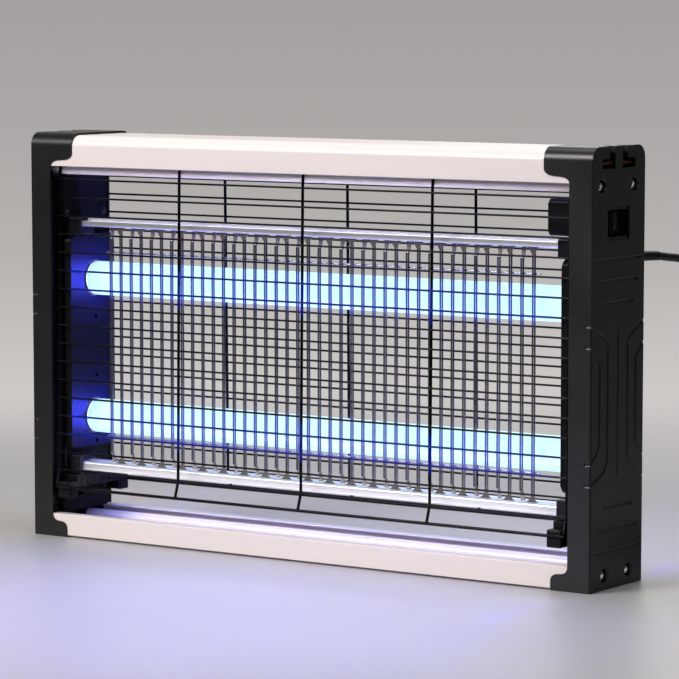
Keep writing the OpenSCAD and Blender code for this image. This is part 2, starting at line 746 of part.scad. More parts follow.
left_end_cap();
right_end_cap();
left_inner_cover();
right_inner_cover();
top_rail();
bottom_rail();
hanger_pins();
front_left_clip();
front_right_clip();
rear_left_clip();
rear_right_clip();
outer_grid_top_rail();
outer_grid_bottom_rail();
inner_grid_top_rail();
inner_grid_bottom_rail();
outer_grid_wires();
inner_grid_wires();
grid_cross_rods();
top_left_insulator();
top_right_insulator();
bottom_left_insulator();
bottom_right_insulator();
upper_lamp_glass();
upper_lamp_bases();
lower_lamp_glass();
lower_lamp_bases();
upper_left_lampholder();
upper_right_lampholder();
lower_left_lampholder();
lower_right_lampholder();
circuit_board();
hv_transformer();
multiplier_capacitors();
filter_capacitor();
lamp_driver_board();
lamp_choke();
fuse();
terminal_block();
wiring_harness();
rocker_switch_frame();
left_cap_screws();
right_cap_screws();
left_cover_screws();
right_cover_screws();
cord_strain_relief();
power_cord();
cord_coil();
coil_tie();
cord_tail();
plug_body();
plug_pins();
front_guard_frame();
front_guard_bars();
front_guard_uprights();
rear_guard_frame();
rear_guard_bars();
rear_guard_uprights();
rocker_button();
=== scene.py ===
"""Looks for the electric bug zapper: camera, studio, cord, refined pieces and materials."""
import math

import bmesh
import bpy
from mathutils import Matrix, Vector


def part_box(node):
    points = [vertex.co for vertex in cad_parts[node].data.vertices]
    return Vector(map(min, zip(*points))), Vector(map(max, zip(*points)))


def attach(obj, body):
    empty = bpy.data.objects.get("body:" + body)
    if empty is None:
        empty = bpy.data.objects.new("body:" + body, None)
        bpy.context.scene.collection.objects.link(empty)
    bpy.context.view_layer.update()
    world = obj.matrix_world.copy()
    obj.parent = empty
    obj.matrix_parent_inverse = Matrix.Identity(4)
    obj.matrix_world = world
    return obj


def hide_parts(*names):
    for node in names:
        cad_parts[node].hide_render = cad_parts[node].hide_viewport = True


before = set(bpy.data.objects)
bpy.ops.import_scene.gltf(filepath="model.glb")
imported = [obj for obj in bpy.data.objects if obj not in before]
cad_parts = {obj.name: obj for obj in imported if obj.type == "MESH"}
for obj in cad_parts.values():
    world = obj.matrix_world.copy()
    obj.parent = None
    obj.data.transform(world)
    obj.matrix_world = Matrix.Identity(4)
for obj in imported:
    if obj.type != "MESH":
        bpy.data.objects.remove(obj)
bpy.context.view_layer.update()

MM = 0.001
BODY = "housing"
SCENE = bpy.context.scene

# ---- sizes read from the frame, in metres ----
HALF_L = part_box("right_end_cap")[1].x
HALF_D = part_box("right_end_cap")[1].y
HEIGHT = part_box("right_end_cap")[1].z
CAP_IN = HALF_L - 18 * MM
CAP_WALL = 2.4 * MM
CAP_R = 9.3 * MM
LOBE_TOP = 20.5 * MM
LOBE_BOTTOM = 13.5 * MM
RAIL_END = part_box("top_rail")[1].x
RAIL_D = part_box("top_rail")[1].y
RAIL_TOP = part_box("top_rail")[1].z
RAIL_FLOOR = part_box("bottom_rail")[0].z
WALL_X = HALF_L - 22.5 * MM
PLATFORM_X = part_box("left_inner_cover")[1].x * -1
LAMP_Y = 4 * MM
LAMP_HIGH = 194 * MM
LAMP_LOW = 89 * MM
SLACK = 0.05 * MM
SCREW_HOLE_R = 1.55 * MM
CUT_FROM, CUT_TO = 0.18, 0.24  # x where cutters start and end, clear of the walls they hollow out
SWITCH_Z = 252.05 * MM


# ---- mesh helpers ----

def mm(*values):
    return Vector([v * MM for v in values])


def flat_mm(points):
    """Points of a 2-D outline or profile, from millimetres to metres."""
    return [(a * MM, b * MM) for a, b in points]


def finish_mesh(bm, name, nodes, material, body=BODY, sharp=32, weighted=False):
    """Turn a bmesh into an object that rides on a body and stands for the CAD nodes named.

    It is shaded smooth below the sharp angle, in degrees.
    """
    bmesh.ops.remove_doubles(bm, verts=bm.verts, dist=1e-7)
    bmesh.ops.recalc_face_normals(bm, faces=bm.faces)
    limit = math.radians(sharp)
    for face in bm.faces:
        face.smooth = True
    for edge in bm.edges:
        edge.smooth = len(edge.link_faces) != 2 or edge.calc_face_angle(0) < limit
    mesh = bpy.data.meshes.new(name)
    bm.to_mesh(mesh)
    bm.free()
    mesh.materials.append(material)
    obj = bpy.data.objects.new(name, mesh)
    SCENE.collection.objects.link(obj)
    if weighted:
        obj.modifiers.new("normals", "WEIGHTED_NORMAL").keep_sharp = True
    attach(obj, body)
    if nodes:
        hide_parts(*nodes.split())
    return obj


def arc(cx, cy, r, a0, a1, n=8):
    return [(cx + r * math.cos(math.radians(a0 + (a1 - a0) * i / n)),
             cy + r * math.sin(math.radians(a0 + (a1 - a0) * i / n))) for i in range(n + 1)]


def arch(half, low, high, r, n=14):
    """Upright outline with rounded upper corners."""
    return ([(-half, low), (half, low)] + arc(half - r, high - r, r, 0, 90, n)
            + arc(r - half, high - r, r, 90, 180, n))


def round_rect(half_w, low, high, r, n=6, centre=0.0):
    points = (arc(half_w - r, low + r, r, -90, 0, n) + arc(half_w - r, high - r, r, 0, 90, n)
              + arc(r - half_w, high - r, r, 90, 180, n)
              + arc(r - half_w, low + r, r, 180, 270, n))
    return [(x + centre, y) for x, y in points]


def rounded(points, r, n=6, closed=False):
    """A polyline with its corners rounded to radius r, in any number of dimensions."""
    points = [Vector(p) for p in points]
    count = len(points)
    made = [] if closed else [points[0]]
    for i in range(0 if closed else 1, count if closed else count - 1):
        a, b, c = points[i - 1], points[i], points[(i + 1) % count]
        u, v = (a - b), (c - b)
        turn = u.angle(v, math.pi)
        if turn > math.pi - 0.01:
            made.append(b)
            continue
        reach = min(r / math.tan(turn / 2), u.length * 0.49, v.length * 0.49)
        start, end = b + u.normalized() * reach, b + v.normalized() * reach
        for k in range(n + 1):
            t = k / n
            made.append(start * (1 - t) ** 2 + b * 2 * t * (1 - t) + end * t ** 2)
    if not closed:
        made.append(points[-1])
    return made


def prism(bm, outline, axis, low, high, bevel=0.0, bevel_ends=(True, True), segments=3):
    """Extrude a 2-D outline along an axis; the outline's plane is YZ, XZ or XY."""
    place = {"x": lambda a, b, t: (t, a, b), "y": lambda a, b, t: (a, t, b),
             "z": lambda a, b, t: (a, b, t)}[axis]
    rings = [[bm.verts.new(place(a, b, t)) for a, b in outline] for t in (low, high)]
    count = len(outline)
    faces = [bm.faces.new(rings[0][::-1]), bm.faces.new(rings[1])]
    for i in range(count):
        j = (i + 1) % count
        faces.append(bm.faces.new((rings[0][i], rings[0][j], rings[1][j], rings[1][i])))
    if bevel:
        edges = [e for end, ring in enumerate(rings) if bevel_ends[end]
                 for e in {e for v in ring for e in v.link_edges
                           if all(w in ring for w in e.verts)}]
        bmesh.ops.bevel(bm, geom=edges, offset=bevel, segments=segments, profile=0.5,
                        affect="EDGES", clamp_overlap=True)
    return faces


def block(bm, low, high, bevel=0.0):
    """Box between two corners, with all its edges rounded."""
    low, high = Vector(low), Vector(high)
    made = bmesh.ops.create_cube(bm, size=1)["verts"]
    bmesh.ops.scale(bm, vec=high - low, verts=made)
    bmesh.ops.translate(bm, vec=(high + low) / 2, verts=made)
    if bevel:
        edges = list({e for v in made for e in v.link_edges})
        bmesh.ops.bevel(bm, geom=edges, offset=bevel, segments=3, profile=0.5,
                        affect="EDGES", clamp_overlap=True)


def sweep(bm, path, radius, sides=12, closed=False):
    """Round tube along points, with flat ends unless it is closed."""
    path = [Vector(p) for p in path]
    count = len(path)
    tangents = []
    for i in range(count):
        before = path[i - 1] if i or closed else path[i]
        after = path[(i + 1) % count] if i < count - 1 or closed else path[i]
        tangents.append((after - before).normalized())
    side = tangents[0].orthogonal().normalized()
    rings = []
    for point, tangent in zip(path, tangents):
        side = (side - tangent * side.dot(tangent)).normalized()
        other = tangent.cross(side)
        rings.append([bm.verts.new(point + (side * math.cos(a) + other * math.sin(a)) * radius)
                      for a in (2 * math.pi * k / sides for k in range(sides))])
    pairs = list(zip(rings, rings[1:])) + ([(rings[-1], rings[0])] if closed else [])
    for a, b in pairs:
        for k in range(sides):
            n = (k + 1) % sides
            bm.faces.new((a[k], a[n], b[n], b[k]))
    if not closed:
        bm.faces.new(rings[0][::-1])
        bm.faces.new(rings[-1])


def lathe(bm, profile, origin, axis, sides=32):
    """Turn a profile of (distance along the axis, radius) points about an axis."""
    axis = Vector(axis).normalized()
    side = axis.orthogonal().normalized()
    other = axis.cross(side)
    rings = []
    for along, r in profile:
        centre = Vector(origin) + axis * along
        if r < 1e-9:
            rings.append([bm.verts.new(centre)])
        else:
            rings.append([bm.verts.new(centre + (side * math.cos(a) + other * math.sin(a)) * r)
                          for a in (2 * math.pi * k / sides for k in range(sides))])
    for a, b in zip(rings, rings[1:]):
        for k in range(sides):
            n = (k + 1) % sides
            quad = [a[k % len(a)], a[n % len(a)], b[n % len(b)], b[k % len(b)]]
            quad = list(dict.fromkeys(quad))
            if len(quad) > 2:
                bm.faces.new(quad)
    for ring, flip in ((rings[0], True), (rings[-1], False)):
        if len(ring) > 1:
            bm.faces.new(ring[::-1] if flip else ring)


def tool(build):
    """A cutting or joining object made by a function that fills a bmesh."""
    bm = bmesh.new()
    build(bm)
    bmesh.ops.recalc_face_normals(bm, faces=bm.faces)
    mesh = bpy.data.meshes.new("tool")
    bm.to_mesh(mesh)
    bm.free()
    obj = bpy.data.objects.new("tool", mesh)
    SCENE.collection.objects.link(obj)
    return obj


def carve(base, steps):
    """Apply (operation, build) booleans to a bmesh made by base, and return the new bmesh."""
    body = tool(base)
    for operation, build in steps:
        other = tool(build)
        modifier = body.modifiers.new("cut", "BOOLEAN")
        modifier.operation = operation
        modifier.solver = "MANIFOLD"
        modifier.object = other
        graph = bpy.context.evaluated_depsgraph_get()
        mesh = bpy.data.meshes.new_from_object(body.evaluated_get(graph))
        body.modifiers.clear()
        body.data = mesh
        bpy.data.objects.remove(other)
    bm = bmesh.new()
    bm.from_mesh(body.data)
    bpy.data.objects.remove(body)
    bmesh.ops.dissolve_degenerate(bm, edges=bm.edges, dist=1e-6)
    return bm


def mirror(bm, x=1, y=1):
    """Mirror a bmesh across the axes whose sign is -1."""
    bmesh.ops.scale(bm, vec=(x, y, 1), verts=bm.verts)
    if x * y < 0:
        bmesh.ops.reverse_faces(bm, faces=bm.faces)


# ---- materials ----

class Graph:
    """Shader nodes of a material or world, with short calls that add and join them."""

    def __init__(self, owner):
        owner.use_nodes = True
        self.nodes, self.links = owner.node_tree.nodes, owner.node_tree.links

    def fill(self, node, values):
        """Set a node's inputs, each to a value or to another node's output."""
        for name, value in values.items():
            if isinstance(value, bpy.types.NodeSocket):
                self.links.new(value, node.inputs[name])
            else:
                node.inputs[name].default_value = value
        return node

    def add(self, kind, values=None):
        return self.fill(self.nodes.new("ShaderNode" + kind), values or {})

    def math(self, operation, *values, kind="Math", output=0):
        node = self.add(kind)
        node.operation = operation
        return self.fill(node, dict(enumerate(values))).outputs[output]

    def remap(self, value, start, end, low=0, high=1, smooth=False):
        """Map the range start..end of a value to low..high, without going past either end."""
        node = self.add("MapRange", {"Value": value, "From Min": start, "From Max": end,
                                     "To Min": low, "To Max": high})
        if smooth:
            node.interpolation_type = "SMOOTHSTEP"
        return node.outputs["Result"]

    def mix(self, a, b, factor, blend="MIX"):
        node = self.add("Mix")
        node.data_type, node.blend_type = "RGBA", blend
        return self.fill(node, {"A": a, "B": b, "Factor": factor}).outputs["Result"]


def surface(name, colour, roughness, metallic=0.0, grain=900.0, bump=0.08, spread=0.12,
            rough_spread=0.08, stretch=(1, 1, 1), coat=0.0, coat_roughness=0.2, specular=0.5,
            emission=None, strength=0.0, transmission=0.0):
    """Principled surface with fine grain in its bump and slow drift in colour and roughness."""
    material = bpy.data.materials.new(name)
    graph = Graph(material)
    place = graph.add("TexCoord").outputs["Object"]
    scaled = graph.add("Mapping", {"Scale": stretch, "Vector": place}).outputs["Vector"]
    drift = graph.add("TexNoise", {"Scale": 22, "Detail": 6, "Vector": scaled}).outputs["Fac"]
    tint = graph.add("ValToRGB", {"Fac": drift})
    dark, light = tint.color_ramp.elements
    dark.position, light.position = 0.3, 0.7
    dark.color = [c * (1 - spread) for c in colour] + [1]
    light.color = [min(1, c * (1 + spread)) for c in colour] + [1]
    inputs = {"Metallic": metallic, "Coat Weight": coat, "Coat Roughness": coat_roughness,
              "Specular IOR Level": specular, "Transmission Weight": transmission,
              "Base Color": tint.outputs["Color"],
              "Roughness": graph.remap(drift, 0, 1, max(0.02, roughness - rough_spread),
                                       min(1, roughness + rough_spread))}
    if bump:
        fine = graph.add("TexNoise", {"Scale": grain, "Detail": 3, "Vector": scaled})
        raised = graph.add("Bump", {"Strength": bump, "Distance": 0.0002,
                                    "Height": fine.outputs["Fac"]})
        inputs["Normal"] = raised.outputs["Normal"]
    if emission:
        inputs["Emission Color"] = [*emission, 1]
        inputs["Emission Strength"] = strength
    graph.fill(graph.nodes["Principled BSDF"], inputs)
    return material


def add_painted_lamp_glow(material, colour, strength, shift=0.0):
    """Painted lamp light: blue emission on the parts of a surface that lie level with either lamp.
    """
    graph = Graph(material)
    split = graph.add("SeparateXYZ", {"Vector": graph.add("TexCoord").outputs["Object"]})
    bands = []
    for lamp in (LAMP_LOW, LAMP_HIGH):
        away = graph.math("ABSOLUTE", graph.math("SUBTRACT", split.outputs["Z"], lamp + shift))
        bands.append(graph.remap(away, 16 * MM, 11 * MM, 0, strength, smooth=True))
    between = graph.remap(graph.math("ABSOLUTE", split.outputs["X"]), PLATFORM_X,
                          PLATFORM_X - 5 * MM)
    glow = graph.math("MULTIPLY", graph.math("ADD", *bands), between)
    graph.fill(graph.nodes["Principled BSDF"],
               {"Emission Color": [*colour, 1], "Emission Strength": glow})


CAP_PLASTIC = surface("cap_plastic", (0.004, 0.004, 0.0041), 0.36, grain=1500, bump=0.2,
                      specular=0.45)
INNER_PLASTIC = surface("inner_plastic", (0.003, 0.003, 0.0042), 0.42, grain=1200, bump=0.15,
                        specular=0.1)
CLIP_PLASTIC = surface("clip_plastic", (0.003, 0.003, 0.004), 0.36, grain=1500, bump=0.1,
                       specular=0.14)
INSULATOR = surface("insulator_plastic", (0.005, 0.005, 0.008), 0.3, grain=1500, bump=0.08,
                    specular=0.25)
PAINTED_RAIL = surface("painted_rail", (0.82, 0.745, 0.725), 0.36, grain=700, bump=0.02,
                       spread=0.02, rough_spread=0.03, stretch=(0.08, 1, 1), coat=0.2,
                       coat_roughness=0.22)
GUARD_WIRE = surface("guard_wire", (0.0012, 0.0012, 0.0015), 0.24, grain=900, bump=0.1,
                     specular=0.12)
ALUMINIUM = surface("grid_aluminium", (0.8, 0.8, 0.84), 0.36, metallic=0.85, bump=0,
                    stretch=(0.02, 1, 1), spread=0.03, rough_spread=0.01)
# The slight blue in the wire's base colour is painted lamp light.
WIRE_STEEL = surface("grid_wire", (0.3, 0.3, 0.36), 0.24, metallic=1, grain=300, bump=0.03,
                     stretch=(1, 1, 0.06), spread=0.12)
# The grid wires and guard bars glow blue level with the lamps: painted lamp light, not light of
# their own.
add_painted_lamp_glow(WIRE_STEEL, (0.03, 0.08, 1.0), 0.26)
add_painted_lamp_glow(GUARD_WIRE, (0.02, 0.05, 1.0), 0.16, -3 * MM)
# Darker copy of the grid rails' sheet for their tabs: painted shade, as the tabs face the camera in
# shade.
TAB_PAINTED_SHADE = surface("grid_tabs", (0.13, 0.115, 0.108), 0.45, metallic=0.3, grain=900, bump=0.03,
                    specular=0.2)
HANGER_STEEL = surface("hanger_steel", (0.07, 0.016, 0.008), 0.35, metallic=0.5, grain=900)
SCREW_STEEL = surface("screw_steel", (0.8, 0.8, 0.81), 0.2, metallic=1, grain=1200, bump=0.05)
# Screw steel darkened for the screws that sit inside the covers: painted shade.
SCREW_STEEL_PAINTED_SHADE = surface("screw_steel_painted_shade", (0.02, 0.02, 0.025), 0.35, metallic=0.6, grain=1200,
                      bump=0.05)
LAMP_METAL = surface("lamp_metal", (0.75, 0.75, 0.77), 0.35, metallic=1, grain=900,
                     stretch=(1, 0.1, 0.1))
WHITE_PLASTIC = surface("white_plastic", (0.75, 0.75, 0.72), 0.45, grain=1200)
BOARD = surface("board", (0.03, 0.16, 0.06), 0.35, grain=500, bump=0.2, coat=0.4)
WINDING = surface("winding", (0.6, 0.45, 0.1), 0.5, grain=1500, bump=0.5, stretch=(1, 1, 5))
BLUE_COATING = surface("blue_coating", (0.03, 0.1, 0.4), 0.25, grain=300, bump=0.1, coat=0.5)
DARK_SLEEVE = surface("dark_sleeve", (0.03, 0.03, 0.06), 0.3, grain=400, bump=0.08)
FUSE_GLASS = surface("fuse_glass", (0.8, 0.85, 0.85), 0.1, transmission=0.8, bump=0)
LEAD = surface("wire_insulation", (0.45, 0.03, 0.02), 0.45, grain=900)
SWITCH_PLASTIC = surface("switch_plastic", (0.004, 0.004, 0.004), 0.2, grain=1800, bump=0.05,
                         specular=0.3)
CORD_RUBBER = surface("cord_rubber", (0.0022, 0.0022, 0.0025), 0.34, grain=1400, bump=0.12,
                      specular=0.16)
CORD_FITTING = surface("cord_fittings", (0.0022, 0.0022, 0.0025), 0.4, grain=1300, bump=0.15,
                       specular=0.12)
PIN_BRASS = surface("pin_brass", (0.72, 0.66, 0.5), 0.22, metallic=1, grain=900, bump=0.04)
TUBE_GLOW = surface("lamp_glass", (0.25, 0.35, 0.4), 0.5, bump=0, spread=0.03, specular=0.1,
                    emission=(0.56, 0.9, 0.96), strength=0.95)


# ---- camera ----

CAMERA_AZIMUTH = 34.38
CAMERA_PITCH = 5.528
CAMERA_DISTANCE = 2548.2
CAMERA_TARGET = mm(12.47, 0, 159.43)


def make_camera():
    az, pitch = math.radians(CAMERA_AZIMUTH), math.radians(CAMERA_PITCH)
    back = Vector((math.sin(az) * math.cos(pitch), -math.cos(az) * math.cos(pitch),
                   math.sin(pitch)))
    data = bpy.data.cameras.new("camera")
    data.sensor_width = 36
    data.sensor_fit = "HORIZONTAL"
    data.lens = 186.7
    camera = bpy.data.objects.new("camera", data)
    camera.location = CAMERA_TARGET + back * CAMERA_DISTANCE * MM
    camera.rotation_euler = (math.pi / 2 - pitch, 0, az)
    SCENE.collection.objects.link(camera)
    SCENE.camera = camera


make_camera()


# ---- cord: from the sleeve down to the surface, a coil, and a tail to the plug ----

CORD_D = 6.2
CORD_X, CORD_Z = 235, 227
SLEEVE_LEN, SLEEVE_TILT, RIBS = 35, 3, 7
COIL_X, COIL_Y, COIL_R, COIL_FLOOR, COIL_TURNS = 262, 182, 35, 0.7, 5.5
CORD_ROUTE = [(235, 70.9, 225.2), (235, 84, 223.6), (235, 97, 222.2), (235, 109, 220),
              (234.5, 120.5, 214.5), (234, 130.5, 205), (233, 138, 191), (232, 142.5, 173),
              (231, 145.3, 149), (230, 147.7, 126), (229, 150, 103), (228, 152, 82),
              (227, 154.5, 62), (225.5, 158, 43), (224, 163, 27), (222.5, 169, 14.5),
              (221.4, 175.5, 7), (220.9, 183, 3.9)]
TAIL_ROUTE = [(303.2, 182, 10), (303.2, 171, 9.6), (303, 160, 8.6), (302.7, 149, 7.5),
              (302.5, 139, 7)]


def smooth_route(points, per=6):
    """Catmull-Rom curve through given points."""
    p = [Vector(q) for q in points]
    p = [p[0] * 2 - p[1]] + p + [p[-1] * 2 - p[-2]]
    made = []
    for i in range(1, len(p) - 2):
        for k in range(per):
            t = k / per
            made.append(0.5 * (2 * p[i] + (p[i + 1] - p[i - 1]) * t
                        + (2 * p[i - 1] - 5 * p[i] + 4 * p[i + 1] - p[i + 2]) * t ** 2
                        + (3 * p[i] - p[i - 1] - 3 * p[i + 1] + p[i + 2]) * t ** 3))
    made.append(p[-2])
    return made


def coil_points(turns):
    """Clockwise coil: outer column inwards on the surface, then outwards on top."""
    columns = [COIL_R + CORD_D, COIL_R, COIL_R - CORD_D]
    low, high = COIL_FLOOR + CORD_D / 2, COIL_FLOOR + CORD_D * 1.5
    stops = [(columns[0], low), (columns[1], low), (columns[2], low), (columns[2], high),
             (columns[1], high), (columns[0], high)]
    steps = 48
    made = []
    total = int(turns * steps)
    for k in range(total + 1):
        turn = k / steps
        share = turn / turns * (len(stops) - 1)
        i = min(int(share), len(stops) - 2)
        t = share - i
        t = t * t * (3 - 2 * t)
        r = stops[i][0] * (1 - t) + stops[i + 1][0] * t
        z = stops[i][1] * (1 - t) + stops[i + 1][1] * t
        a = math.pi - 2 * math.pi * turn
        made.append(Vector((COIL_X + r * math.cos(a), COIL_Y + r * math.sin(a), z)))
    return made


def make_cord():
    lead = smooth_route(CORD_ROUTE)
    tail = smooth_route(TAIL_ROUTE)
    coil = coil_points(COIL_TURNS)
    path = [p * MM for p in lead[:-1] + coil[1:-1] + tail]
    bm = bmesh.new()
    sweep(bm, path, CORD_D / 2 * MM, sides=14)
    return finish_mesh(bm, "mains_cord", "power_cord cord_coil cord_tail", CORD_RUBBER), path


cord, cord_path = make_cord()


def make_sleeve():
    """Strain relief: a tapered sleeve with flex slots, and its collar in the cap's rear wall."""
    tilt = math.radians(SLEEVE_TILT)
    direction = Vector((0, math.cos(tilt), -math.sin(tilt)))
    start = mm(CORD_X, HALF_D / MM, CORD_Z)
    profile = [(-6, 3.8), (0.0, 3.8), (0.2, 4.3), (1.4, 4.4), (1.7, 3.8)]
    for k in range(RIBS):
        at = 4 + k * 4.2
        r = 3.8 - 0.5 * at / SLEEVE_LEN
        profile += [(at, r), (at + 0.25, r - 0.12), (at + 1.1, r - 0.12), (at + 1.35, r)]
    profile += [(SLEEVE_LEN - 0.8, 3.36), (SLEEVE_LEN - 0.2, 3.2), (SLEEVE_LEN - 0.1, 2.6)]
    bm = bmesh.new()
    lathe(bm, flat_mm(profile), start, direction)
    return finish_mesh(bm, "strain_relief", "cord_strain_relief", CORD_FITTING)


def make_tie():
    """Strap round the coil's bundle, with a small buckle on top."""
    half = 1.5 * CORD_D
    outline = rounded([(COIL_R - half - 0.4, 0.1), (COIL_R + half + 0.4, 0.1),
                       (COIL_R + half + 0.4, COIL_FLOOR + 2 * CORD_D + 0.4),
                       (COIL_R - half - 0.4, COIL_FLOOR + 2 * CORD_D + 0.4)], 2.5, closed=True)
    inner = rounded([(COIL_R - half + 0.2, 0.6), (COIL_R + half - 0.2, 0.6),
                     (COIL_R + half - 0.2, COIL_FLOOR + 2 * CORD_D - 0.1),
                     (COIL_R - half + 0.2, COIL_FLOOR + 2 * CORD_D - 0.1)], 2.1, closed=True)
    bm = bmesh.new()
    rings = [[bm.verts.new(Vector((p[0], y, p[1])) * MM) for p in line]
             for y in (-4, 4) for line in (outline, inner)]
    count = len(rings[0])
    for i in range(count):
        j = (i + 1) % count
        for u, v in ((0, 2), (3, 1), (1, 0), (2, 3)):
            bm.faces.new((rings[u][i], rings[u][j], rings[v][j], rings[v][i]))
    block(bm, mm(COIL_R - 3, -3.2, COIL_FLOOR + 2 * CORD_D - 0.2),
          mm(COIL_R + 3, 3.2, COIL_FLOOR + 2 * CORD_D + 0.6), 0.25 * MM)
    bmesh.ops.transform(bm, matrix=Matrix.Translation(mm(COIL_X, COIL_Y, 0))
                        @ Matrix.Rotation(math.radians(55), 4, "Z"), verts=bm.verts)
    return finish_mesh(bm, "coil_strap", "coil_tie", CORD_FITTING)


def make_plug():
    """Flat two-pin plug with a waisted body and a ribbed cord entry."""
    at = Vector(TAIL_ROUTE[-1])
    bm = bmesh.new()
    outline = rounded([(-6, -8), (6, -8), (17.3, -21), (17.3, -36), (-17.3, -36), (-17.3, -21)],
                      3.5, closed=True)
    prism(bm, [((at.x + p[0]) * MM, (at.y + p[1]) * MM) for p in outline], "z", 0.15 * MM,
          13.8 * MM, bevel=2.2 * MM, segments=4)
    body = finish_mesh(bm, "plug", "plug_body", CORD_FITTING, weighted=True)
    bm = bmesh.new()
    lathe(bm, flat_mm([(0.2, 2.6), (0.2, 3.3), (2, 3.5), (2.4, 3.2), (3.4, 3.2), (3.8, 3.7),
                       (5.6, 3.8), (6, 3.4), (7, 3.4), (7.4, 4.1), (10, 4.2)]), at * MM, (0, -1, 0))
    boot = finish_mesh(bm, "plug_boot", "", CORD_FITTING)
    bm = bmesh.new()
    for s in (-1, 1):
        origin = (at + Vector((s * 9.3, -36, 0))) * MM
        lathe(bm, flat_mm([(0, 1.9), (9, 1.9), (9.1, 2), (17.5, 2), (18.6, 1.5), (18.9, 0.8)]),
              origin, (0, -1, 0), sides=20)
    pins = finish_mesh(bm, "plug_contacts", "plug_pins", PIN_BRASS)
    return body, boot, pins


sleeve = make_sleeve()
tie = make_tie()
plug, plug_boot, plug_contacts = make_plug()


# ---- studio ----

BACKDROP_WAY = (-0.565, 0.825, 0)
# Centre of the pool of violet lamp light painted into the floor's colour.
PAINTED_VIOLET_LIGHT_SPOT = (0.06, -0.3, 0)
FLOOR_R = 1.2


def make_world():
    """Grey backdrop, bright near the horizon, that goes dark on the side the front faces."""
    world = bpy.data.worlds.new("studio")
    SCENE.world = world
    graph = Graph(world)
    way = graph.add("TexCoord").outputs["Generated"]
    height = graph.add("SeparateXYZ", {"Vector": way}).outputs["Z"]
    ramp = graph.add("ValToRGB", {"Fac": graph.remap(height, -0.2, 1.0)})
    stops = [(0.0, 0.5), (0.05, 0.63), (0.072, 0.62), (0.088, 0.55), (0.1075, 0.465), (0.13, 0.42),
             (0.163, 0.376), (0.23, 0.33), (0.5, 0.42), (1.0, 0.6)]
    ramp.color_ramp.elements[0].position = stops[0][0]
    ramp.color_ramp.elements[1].position = stops[-1][0]
    for position, _ in stops[1:-1]:
        ramp.color_ramp.elements.new(position)
    for element, (_, value) in zip(ramp.color_ramp.elements, stops):
        element.color = (value, value * 0.962, value * 0.94, 1)
    facing = graph.math("DOT_PRODUCT", way, BACKDROP_WAY, kind="VectorMath", output="Value")
    shade = graph.remap(facing, 0.3, 0.95, low=0.07)
    dimmed = graph.mix(ramp.outputs["Color"], shade, 1, blend="MULTIPLY")
    graph.fill(graph.nodes["Background"], {"Color": dimmed})


def make_floor():
    """Satin pale floor that fades into the surround away from the object, with violet lamp light
    painted into its colour near the object's front.
    """
    material = bpy.data.materials.new("floor")
    graph = Graph(material)
    place = graph.add("TexCoord").outputs["Object"]
    lit = graph.math("DISTANCE", place, PAINTED_VIOLET_LIGHT_SPOT, kind="VectorMath", output="Value")
    # Painted light: the base colour turns violet near the spot, standing in for the lamps' light
    # falling on the floor.
    tint = graph.mix((0.4, 0.392, 0.385, 1), (0.55, 0.54, 0.74, 1),
                     graph.remap(lit, 0.4, 0.08, smooth=True))
    shader = graph.fill(graph.nodes["Principled BSDF"], {"Roughness": 0.38, "Base Color": tint})
    far = graph.math("LENGTH", place, kind="VectorMath", output="Value")
    clear = graph.add("BsdfTransparent")
    faded = graph.add("MixShader", {"Fac": graph.remap(far, 0.45, 1.15, smooth=True),
                                    1: shader.outputs["BSDF"], 2: clear.outputs["BSDF"]})
    graph.fill(graph.nodes["Material Output"], {"Surface": faded.outputs["Shader"]})
    bm = bmesh.new()
    bmesh.ops.create_circle(bm, cap_ends=True, radius=FLOOR_R, segments=96)
    mesh = bpy.data.meshes.new("floor")
    bm.to_mesh(mesh)
    bm.free()
    mesh.materials.append(material)
    floor = bpy.data.objects.new("floor", mesh)
    SCENE.collection.objects.link(floor)


def make_light(name, location, target, size, power, colour=(1, 1, 1)):
    data = bpy.data.lights.new(name, "AREA")
    data.shape = "RECTANGLE"
    data.size, data.size_y = size
    data.energy = power
    data.color = colour
    light = bpy.data.objects.new(name, data)
    light.location = location
    way = Vector(target) - Vector(location)
    light.rotation_euler = way.to_track_quat("-Z", "Y").to_euler()
    light.visible_camera = False
    SCENE.collection.objects.link(light)
    return light


make_world()
make_floor()
make_light("key", (-1.2, -2.4, 1.7), (0, 0, 0.12), (1.4, 1.0), 90, (1, 0.96, 0.94))
make_light("fill", (1.9, -0.9, 1.3), (0.1, 0, 0.15), (0.5, 0.5), 7)
make_light("top", (0, 0.1, 2.2), (0, 0, 0), (1.8, 1.2), 26)
make_light("back", (-0.6, 2.2, 1.4), (0, 0, 0.15), (1.4, 1.0), 12)
bounce = make_light("bounce", (0, -0.021, 0.035), (0, -0.0215, 0.28), (0.4, 0.02), 0.95,
                    (1, 0.96, 0.98))
bounce.visible_glossy = False


def tube_light(kind, x, z, power, colour):
    data = bpy.data.lights.new("tube_light", kind)
    data.energy = power
    data.color = colour
    data.shadow_soft_size = 0.01 if kind == "POINT" else 0.003
    light = bpy.data.objects.new("tube_light", data)
    light.location = (x, LAMP_Y, z)
    SCENE.collection.objects.link(light)
    return light


def make_tube_lights():
    """Violet light from inside each tube, and a deeper glow on the covers round its ends."""
    count, reach = 9, 0.38
    for z in (LAMP_LOW, LAMP_HIGH):
        for k in range(count):
            tube_light("POINT", (k / (count - 1) - 0.5) * reach, z, 0.26, (0.2, 0.22, 1.0))
        for s in (-1, 1):
            end = tube_light("SPOT", s * (PLATFORM_X - 0.008), z, 1.2, (0.042, 0.05, 1.0))
            end.data.spot_size = math.radians(178)
            end.data.spot_blend = 0.3
            end.rotation_euler = (0, -s * math.pi / 2, 0)


make_tube_lights()
SCENE.view_settings.view_transform = "Standard"
SCENE.view_settings.look = "None"


# ---- end caps ----

